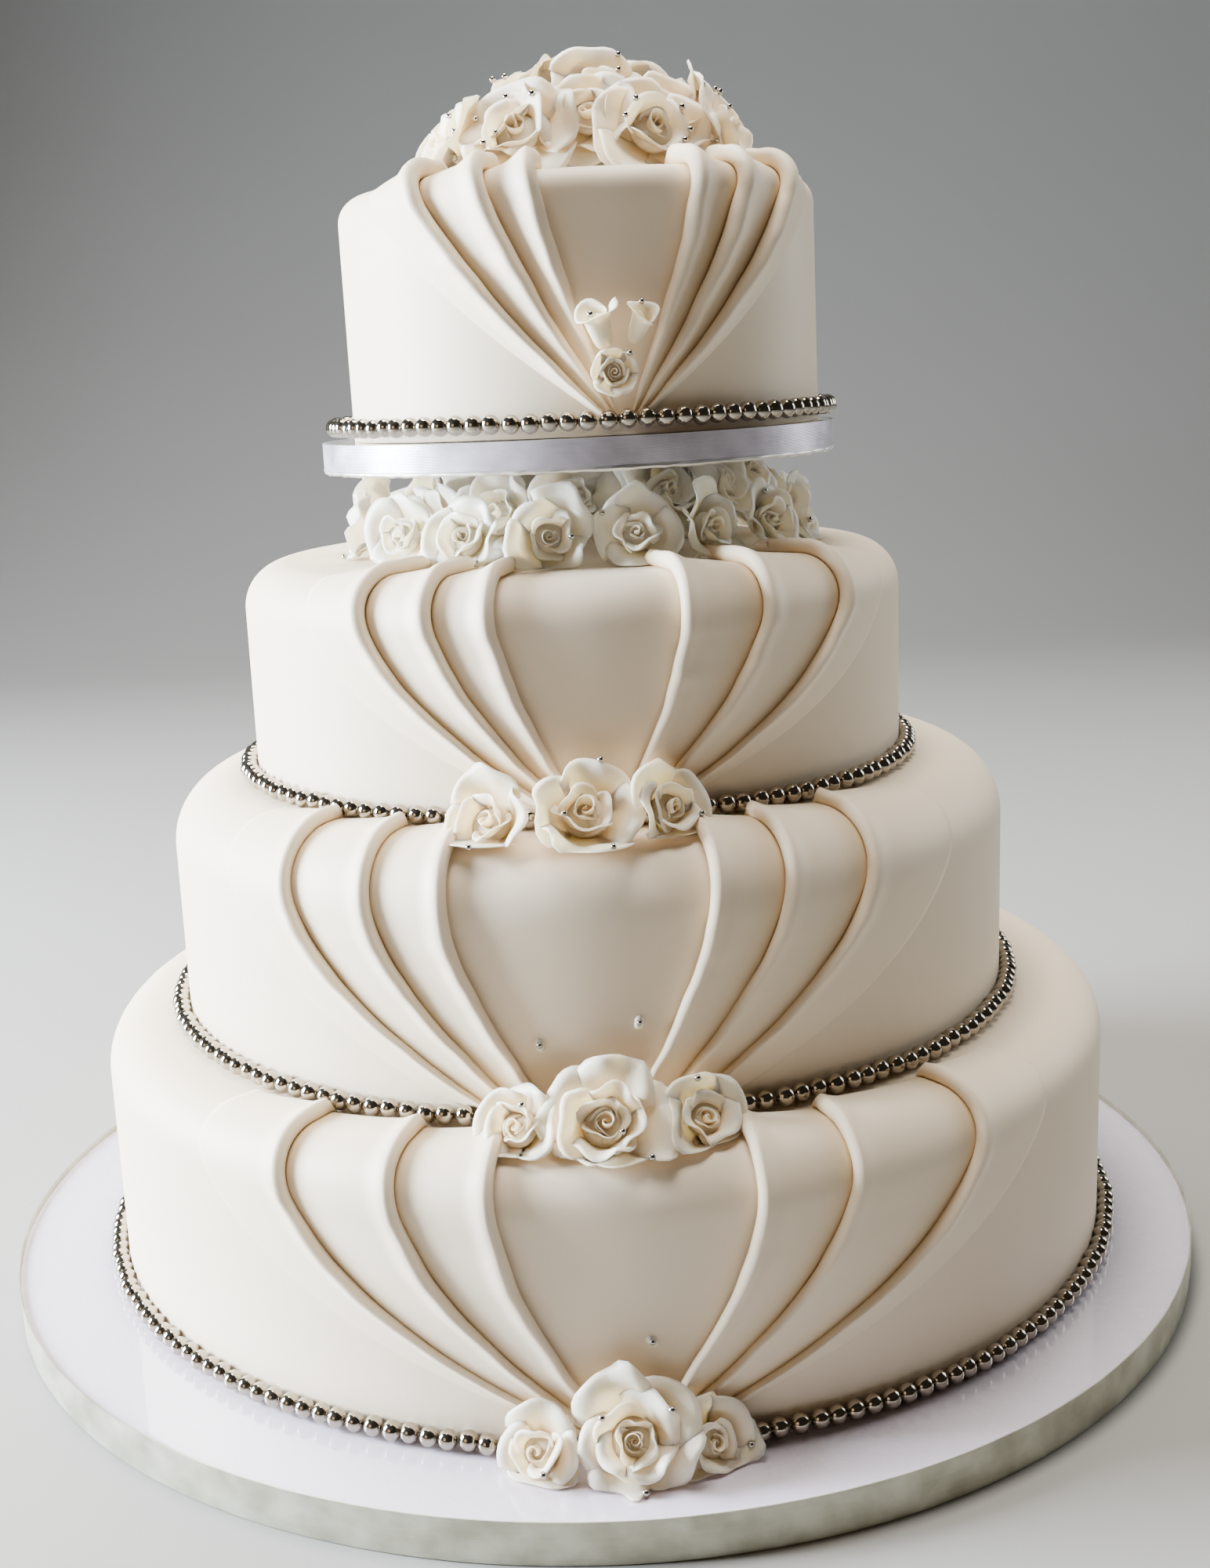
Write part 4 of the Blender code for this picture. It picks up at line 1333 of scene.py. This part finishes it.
def keep_off(tier, floor):
    """Press points out of a tier's side and up from the shelf below it."""
    def keep(points):
        local = moved(points, tier.place.inverted())
        reach = np.hypot(local[..., 0], local[..., 1])
        least = tier.radius + FONDANT_GAP
        grow = np.where((reach < least) & (local[..., 2] < tier.height),
                        least / np.maximum(reach, TINY), 1.0)
        local[..., 0] *= grow
        local[..., 1] *= grow
        local[..., 2] = np.maximum(local[..., 2], floor)
        return moved(local, tier.place)

    return keep


def looking(angle, aside, up):
    """A direction outwards at an angle round the cake, turned aside and up by degrees."""
    flat = around(angle + math.radians(aside), math.cos(math.radians(up)))
    return flat + Vector((0, 0, math.sin(math.radians(up))))


def plant(node, place, facing, size, seed, whorls, keep, wild=1.0):
    """Make one rose and note where it is, for the dragees."""
    sheets = planted(rose_sheets(size, seed, whorls, wild), facing_place(place, facing, seed))
    mesh = rose_mesh(f"sugar_{node}", sheets, keep,
                     FINE_PETAL if whorls in (THIN, OPEN) else PETAL_THICKNESS)
    roses[node] = (mesh, place, Vector(facing).normalized(), size)
    return mesh


for node, (aside, up, size, seed, whorls, right, rise) in CLUSTER_ROSES.items():
    tier = tiers[int(node[5]) - 1]
    middle = node_middle(node) + Vector((right, -CLUSTER_FORWARD[tier.number - 1], rise))
    angle = math.atan2(middle.x - tier.place.translation.x, -middle.y)
    mesh = plant(node, middle, looking(angle, aside, up), size, seed, whorls,
                 keep_off(tier, SHELF_GAP))
    finished(mesh, petal, "sugar_petal", node)
print("roses at the drapes", len(roses))

# %% [markdown]
# ### The ring between the boards
# Roses stand round the pillars and hide them.  They look outwards, and the upper board
# presses on their petals, so those are clipped between the tier's top and the board.

# %% Ring of roses under the upper board
RING_ROSES = 15
RING_OUT, RING_DROP = 0.0045, -0.0008       # off the node's middle
PETAL_GAP = 0.0008          # above the surface that the petals lie on
BOARD_PRESS = 0.0006        # how far they may overlap the board, so that no gap shows
ring_nodes = [f"rose_ring_{number}" for number in range(1, RING_ROSES + 1)]
ring_floor = (tiers[2].place @ Vector((0, 0, tiers[2].height))).z
ring_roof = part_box("upper_board")[0].z


def between(points):
    """Keep petals between the third tier's top and the upper board."""
    points[..., 2] = np.clip(points[..., 2], ring_floor + PETAL_GAP, ring_roof + BOARD_PRESS)
    return points


for number, node in enumerate(ring_nodes, start=1):
    middle = node_middle(node)
    angle = math.atan2(middle.x, -middle.y)
    dice = random.Random(50 + number)
    mesh = plant(node, middle + around(angle, RING_OUT, RING_DROP),
                 looking(angle, dice.uniform(-16, 16), dice.uniform(6, 28)),
                 dice.uniform(0.0144, 0.0164), 400 + number, dice.choice((THIN, CUPPED)),
                 between, 1.1)
    # the whiter copy of the petal finish paints the cool light under the upper board
    finished(mesh, white_petal, "sugar_petal", node)
print("roses in the ring", RING_ROSES)

# %% [markdown]
# Behind the ring a second row fills the space up to the board, so no one sees through
# between the pillars.  It stands for no node of its own, so it is one piece.

# %% Roses behind the ring, up to the board
INNER_ROSES = 13
INNER_RADIUS = 0.070
INNER_RISE = 0.0250
INNER_RISE_DRAW = 0.003
INNER_LOWER = 0.014         # how much lower it is on the left
ring_middle = sum(map(node_middle, ring_nodes), Vector()) / RING_ROSES


def nod(dice, angle, aside, lowest, highest):
    """A direction drawn about the outward one: aside either way, and up, in degrees."""
    return looking(angle, dice.uniform(-aside, aside), dice.uniform(lowest, highest))


sheets = []
for number in range(INNER_ROSES):
    dice = random.Random(80 + number)
    angle = math.tau * (number + dice.uniform(-0.2, 0.2)) / INNER_ROSES
    uneven = dice.uniform(-INNER_RISE_DRAW, INNER_RISE_DRAW)
    place = around(angle, INNER_RADIUS, ring_floor + INNER_RISE + uneven)
    place.x += ring_middle.x
    place.z -= INNER_LOWER * max(0.0, -math.sin(angle))
    place = facing_place(place, nod(dice, angle, 20, 10, 40))
    sheets += planted(rose_sheets(dice.uniform(0.0150, 0.0175), 90 + number, THIN, 1.2), place)
mesh = rose_mesh("inner_ring_roses", sheets, between, FINE_PETAL)
# the whiter copy of the petal finish paints the cool light under the upper board
finished(mesh, white_petal, "sugar_petal")

# %% [markdown]
# ### The dome
# The top is a half ball of roses.  Those round its foot look outwards and the upper ones
# up.  A soft outline holds back petals that would stick out of the dome, but lets a share
# of each overhang through, because a florist's dome is never quite round.

# %% Dome of roses on the fourth tier
DOME_NODES = 13
DOME_LOWER = 8              # of them stand round its foot
DOME_REACH = 0.0735
DOME_START = 0.96           # where the dome starts to hold petals back
DOME_LOOSE = 0.70           # the share of a petal's overhang that it lets through
DOME_BELOW_TOP = 0.0035     # the outline's top lies this far below the cake's top
TOP_GAP = 0.0006            # and no petal comes nearer to it than this
BACK_LIES = 30.0            # how much more the upper roses behind look up, in degrees
DOME_ROSES = (      # for nodes up to a number: up in degrees, radius, moved out, up
    (DOME_LOWER, 28, 0.0196, 0.0100, 0.0005),
    (12, 46, 0.0192, 0.0100, 0.0100),
    (13, 44, 0.0172, 0.0030, 0.0080),
)
upper_tier = tiers[3]
dome_axis = upper_tier.place.to_3x3() @ Vector((0, 0, 1))
dome_floor = upper_tier.place @ Vector((0, 0, upper_tier.height))
dome_nodes = [f"rose_dome_{number}" for number in range(1, DOME_NODES + 1)]
dome_middle = sum(map(node_middle, dome_nodes), Vector()) / DOME_NODES
dome_rise = cad_box[1][2] - dome_floor.z - DOME_BELOW_TOP


def on_dome(points):
    """Press petals up from the fourth tier's top and softly into the dome's outline."""
    normal = np.array(dome_axis)
    below = np.minimum((points - np.array(dome_floor)) @ normal - PETAL_GAP, 0.0)
    points = points - below[..., None] * normal
    foot = np.array((dome_middle.x, dome_middle.y, dome_floor.z))
    reach = np.sqrt((((points - foot) / (DOME_REACH, DOME_REACH, dome_rise)) ** 2).sum(-1))
    held = DOME_START + DOME_LOOSE * (reach - DOME_START)
    pull = np.where(reach > DOME_START, held / np.maximum(reach, TINY), 1.0)
    points = foot + (points - foot) * pull[..., None]
    points[..., 2] = np.minimum(points[..., 2], cad_box[1][2] - TOP_GAP)
    return points


for number, node in enumerate(dome_nodes, start=1):
    up, size, out, lift = next(row[1:] for row in DOME_ROSES if number <= row[0])
    middle = node_middle(node)
    angle = math.atan2(middle.x - dome_middle.x, dome_middle.y - middle.y)
    dice = random.Random(60 + number)
    up += BACK_LIES * max(0.0, -math.cos(angle)) if number > DOME_LOWER else 0.0
    facing = looking(angle, dice.uniform(-18, 18), up + dice.uniform(-8, 8))
    mesh = plant(node, middle + around(angle, out, lift), facing,
                 size * dice.uniform(0.94, 1.08), 700 + number, OPEN, on_dome)
    finished(mesh, petal, "sugar_petal", node)
print("roses in the dome", DOME_NODES)

# %% [markdown]
# Between the roses of the dome smaller ones fill the gaps, as a florist would do it last.

# %% Half-open roses in the dome's gaps
GAP_ROSES = 8
GAP_CIRCLE = 0.051
GAP_RISE = 0.0225
sheets = []
for number in range(GAP_ROSES):
    dice = random.Random(30 + number)
    angle = math.tau * (number + dice.uniform(-0.15, 0.15)) / GAP_ROSES
    place = around(angle, GAP_CIRCLE, dome_floor.z + GAP_RISE)
    place.x += dome_middle.x
    place = facing_place(place, nod(dice, angle, 25, 30, 50))
    sheets += planted(rose_sheets(dice.uniform(0.0158, 0.0172), 130 + number, OPEN), place)
gap_mesh = rose_mesh("dome_gap_roses", sheets, on_dome, FINE_PETAL)
finished(gap_mesh, petal, "sugar_petal")
print("roses with a node of their own", len(roses))

# %% [markdown]
# ### Small rose and buds
# On the fourth tier's front a small rosette sits under two buds.  A bud is one petal
# rolled round itself, so it is a single sheet: a spiral cup with a flared, wavy mouth.

# %% Small rose and two buds on the fourth tier
SMALL_SIZE = 0.0090
SMALL_DROP = Vector((0.0, 0.0, -0.0015))
BUDS = (("bud_left", -1, 5, 0.0084), ("bud_right", 1, 8, 0.0070))   # side, seed, radius
BUD_SHIFT = Vector((0.0010, 0, -0.0030))
BUD_ROWS, BUD_COLUMNS = 14, 34
ABOVE_PEARLS = 0.008        # the flowers stay above the string of pearls
off_pearls = keep_off(upper_tier, ABOVE_PEARLS)

node = "small_rose"
middle = node_middle(node) + SMALL_DROP
out = Vector((middle.x - upper_tier.place.translation.x, middle.y, 0)).normalized()
facing = out + Vector((0, 0, 0.15))
sheets = planted(rose_sheets(SMALL_SIZE, 96, ROSETTE, 0.45), facing_place(middle, facing, 1.0))
mesh = rose_mesh("sugar_small_rose", sheets, off_pearls)
finished(mesh, petal, "sugar_petal", node)
roses[node] = (mesh, middle, facing.normalized(), SMALL_SIZE)


def bud_sheet(size, dice):
    """A petal rolled into a cup, with a flared and curled mouth."""
    along, across = shares(BUD_ROWS, BUD_COLUMNS)
    start = dice.uniform(0, math.tau)
    angle = start + math.tau * 1.5 * across
    radius = 0.16 + 0.40 * np.sqrt(along) * across ** 0.35 + 0.10 * across
    radius = radius + 0.40 * eased(along, 0.72, 1.05) * eased(across, 0.25, 0.7)
    radius = radius + 0.07 * np.sin(3 * angle) * eased(along, 0.5, 1.0)
    height = -1.25 + 2.15 * along - 0.25 * eased(along, 0.85, 1.1) - 0.30 * along * (1 - across)
    height = height + 0.16 * np.sin(2 * angle + start) * along ** 3
    return about_axis(radius, angle, height, size), along


for node, side, seed, size in BUDS:
    middle = node_middle(node) + BUD_SHIFT
    facing = out * 0.75 + Vector((side * 0.38, 0, 1.0))
    sheets = planted([bud_sheet(size, random.Random(seed))], facing_place(middle, facing))
    mesh = rose_mesh(f"sugar_{node}", sheets, off_pearls)
    finished(mesh, petal, "sugar_petal", node)
    roses[node] = (mesh, middle, facing.normalized(), size)
print("small flowers", 1 + len(BUDS))

# %% [markdown]
# ### Icing under the dome
# The dome's roses are stuck in a mound of royal icing, which shows in the gaps.  It is a
# turned half ball, made lumpy, because icing that is spread by knife is never smooth.

# %% Icing mound
MOUND_RADIUS = 0.052
MOUND_HEIGHT = 0.022
MOUND_LIFT = 0.0002
MOUND_STEP = 6              # degrees
MOUND_SEGMENTS = 72
LUMP_HEIGHT = 0.0012


def lumps(angle, radius, height):
    return LUMP_HEIGHT * math.sin(7 * angle + 90 * height) * min(1.0, height / 0.004), 0.0


mound_outline = [(0.0, MOUND_LIFT), (MOUND_RADIUS * 0.9, MOUND_LIFT)]
for degrees in range(0, 90, MOUND_STEP):
    angle = math.radians(degrees)
    mound_outline.append((MOUND_RADIUS * math.cos(angle),
                          MOUND_LIFT + MOUND_HEIGHT * math.sin(angle)))
mound_outline.append((0.0, MOUND_HEIGHT + MOUND_LIFT))
mound_aside = dome_middle.x - upper_tier.place.translation.x
mesh = woven("icing_mound", [turned(mound_outline, MOUND_SEGMENTS, lumps)],
             place=upper_tier.place @ Matrix.Translation((mound_aside, 0, upper_tier.height)))
finished(mesh, icing, "sugar_petal")

# %% [markdown]
# ## Dragees
# Dragees are silver sugar balls of 2.4 mm, dabbed on the petals' rims.  Each is given as a
# clock hour and a share of its rose's radius.  The point of a rim that lies nearest to
# that spot, those in front preferred, is where the ball sits.

# %% Where the dragees sit
DRAGEE_RADIUS = 0.00120
DRAGEE_SUNK = 0.8           # its middle stands this far out of the petal, in radii
DOME_DRAGEES = 5            # on each rose of the dome
GAP_DRAGEES = 16            # on all the roses in its gaps
GAP_TRIES = 40              # the outermost of so many rim points carries each
NEAR_RIM = 0.85             # share of the way from a petal's foot
FRONT_PULL = 0.35           # what a point further in front is worth
LOOSE_STAND = 0.0018        # of a loose dragee's middle, off the fondant
LOOSE_DRAGEES = ((0, 2.8, 0.0405), (1, -6.6, 0.0300), (1, 4.7, 0.0370))     # as in dabs below
DRAGEES = {
    "rose_1_1": ((4.2, 0.55),), "rose_1_2": ((10.2, 0.92), (1.6, 0.92), (5.7, 0.90)),
    "rose_1_3": ((3.6, 0.75),),
    "rose_2_1": ((12.5, 0.6),), "rose_2_2": ((4.5, 0.35), (4.3, 0.95)), "rose_2_3": ((11.7, 0.9),),
    "rose_3_1": ((5.8, 0.95),), "rose_3_2": ((12.6, 0.92), (7.8, 0.55), (5.2, 0.95)),
    "rose_3_3": ((4.0, 0.8),),
    "small_rose": ((1.4, 0.9),), "bud_left": ((6.0, 0.5),), "bud_right": ((12.0, 0.5),),
}
dice = random.Random(2024)
for node in roses:
    if node not in DRAGEES:
        DRAGEES[node] = tuple((dice.uniform(0, 12), dice.uniform(0.6, 0.95))
                              for _ in range(DOME_DRAGEES if "dome" in node else 1))


def rim_points(mesh):
    """The points near the petals' rims."""
    points = np.empty(len(mesh.vertices) * 3)
    mesh.vertices.foreach_get("co", points)
    rim = np.empty(len(mesh.vertices))
    mesh.attributes["rim"].data.foreach_get("value", rim)
    return points.reshape(-1, 3)[rim > NEAR_RIM]


spots = []
for node, hours in DRAGEES.items():
    mesh, middle, facing, size = roses[node]
    rims = rim_points(mesh)
    top = (Vector((0, 0, 1)) - facing * facing.z).normalized()
    right = top.cross(facing)
    seen = (rims - np.array(middle)) @ np.array((right, top, facing)).T / size
    for hour, share in hours:
        turn = math.tau * hour / 12
        miss = np.hypot(seen[:, 0] - share * math.sin(turn), seen[:, 1] - share * math.cos(turn))
        best = rims[np.argmin(miss - FRONT_PULL * seen[:, 2])]
        spots.append(Vector(best) + facing * DRAGEE_RADIUS * DRAGEE_SUNK)
dice = random.Random(77)
rims = rim_points(gap_mesh)
for _ in range(GAP_DRAGEES):
    best = rims[max(dice.sample(range(len(rims)), GAP_TRIES),
                    key=lambda index: ((rims[index] - np.array(dome_middle)) ** 2).sum())]
    spots.append(Vector(best) + (Vector(best) - dome_middle).normalized() * DRAGEE_RADIUS)
dabs = [(tiers[number], math.radians(degrees), height)
        for number, degrees, height in LOOSE_DRAGEES]
spots += [tier.place @ around(angle, tier.radius + LOOSE_STAND, height)
          for tier, angle, height in dabs]
print("dragees", len(spots))

# %% [markdown]
# One small ball is repeated on every spot, so Geometry Nodes put it there, each time a
# hair larger or smaller.

# %% Dragees on their spots
DRAGEE_SPREAD = (0.9, 1.08)


def dragee_tree(points):
    shape = Shape("dragees", ("Ball radius",), ("Seed",))
    spots_mesh = bpy.data.meshes.new("dragee_spots")
    spots_mesh.from_pydata([tuple(point) for point in points], [], [])
    spots_object = bpy.data.objects.new("dragee_spots", spots_mesh)
    source = shape.node("GeometryNodeObjectInfo", None, {"Object": spots_object},
                        output="Geometry")
    ball = shape.node("GeometryNodeMeshIcoSphere", None,
                      {"Radius": shape.size["Ball radius"], "Subdivisions": 2})
    spread = shape.drawn("FLOAT", *DRAGEE_SPREAD, shape.size["Seed"])
    balls = shape.node("GeometryNodeInstanceOnPoints", None,
                       {"Points": source, "Instance": ball, "Scale": spread})
    shape.close(balls, dragee_silver)
    return shape


mesh = dragee_tree(spots).grown("silver_dragees", {"Ball radius": DRAGEE_RADIUS, "Seed": 3},
                                Matrix.Identity(4))
finished(mesh, dragee_silver, "silver_pearl")

# %% [markdown]
# Three dragees sit on the cake's front, each on a dab of icing a little wider than itself.
# A dab is a low turned drop, pulled out of round so that it doesn't look cast.

# %% Dabs of icing
DAB_OUTLINE = ((0.0, -0.0008), (0.0016, -0.0006), (0.0021, 0.0), (0.0017, 0.0007),
               (0.0009, 0.0011), (0.0, 0.0012))     # radius and height
DAB_SEGMENTS = 16
DAB_DROP = 0.0006           # a dab sags below its dragee
grids = []
for number, (tier, angle, height) in enumerate(dabs):
    dab = turned(DAB_OUTLINE, DAB_SEGMENTS,
                 lambda turn, reach, rise: (0.25 * reach * math.sin(2 * turn + number), 0.0))
    foot = tier.place @ around(angle, tier.radius, height - DAB_DROP)
    grids.append(moved(dab, facing_place(foot, around(angle, 1.0))))
mesh = woven("icing_dabs", grids)
finished(mesh, icing, "sugar_petal")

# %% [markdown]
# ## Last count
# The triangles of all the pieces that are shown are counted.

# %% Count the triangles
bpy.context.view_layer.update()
triangles = sum(len(face.vertices) - 2 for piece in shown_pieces() for face in piece.data.polygons)
print("triangles", triangles)
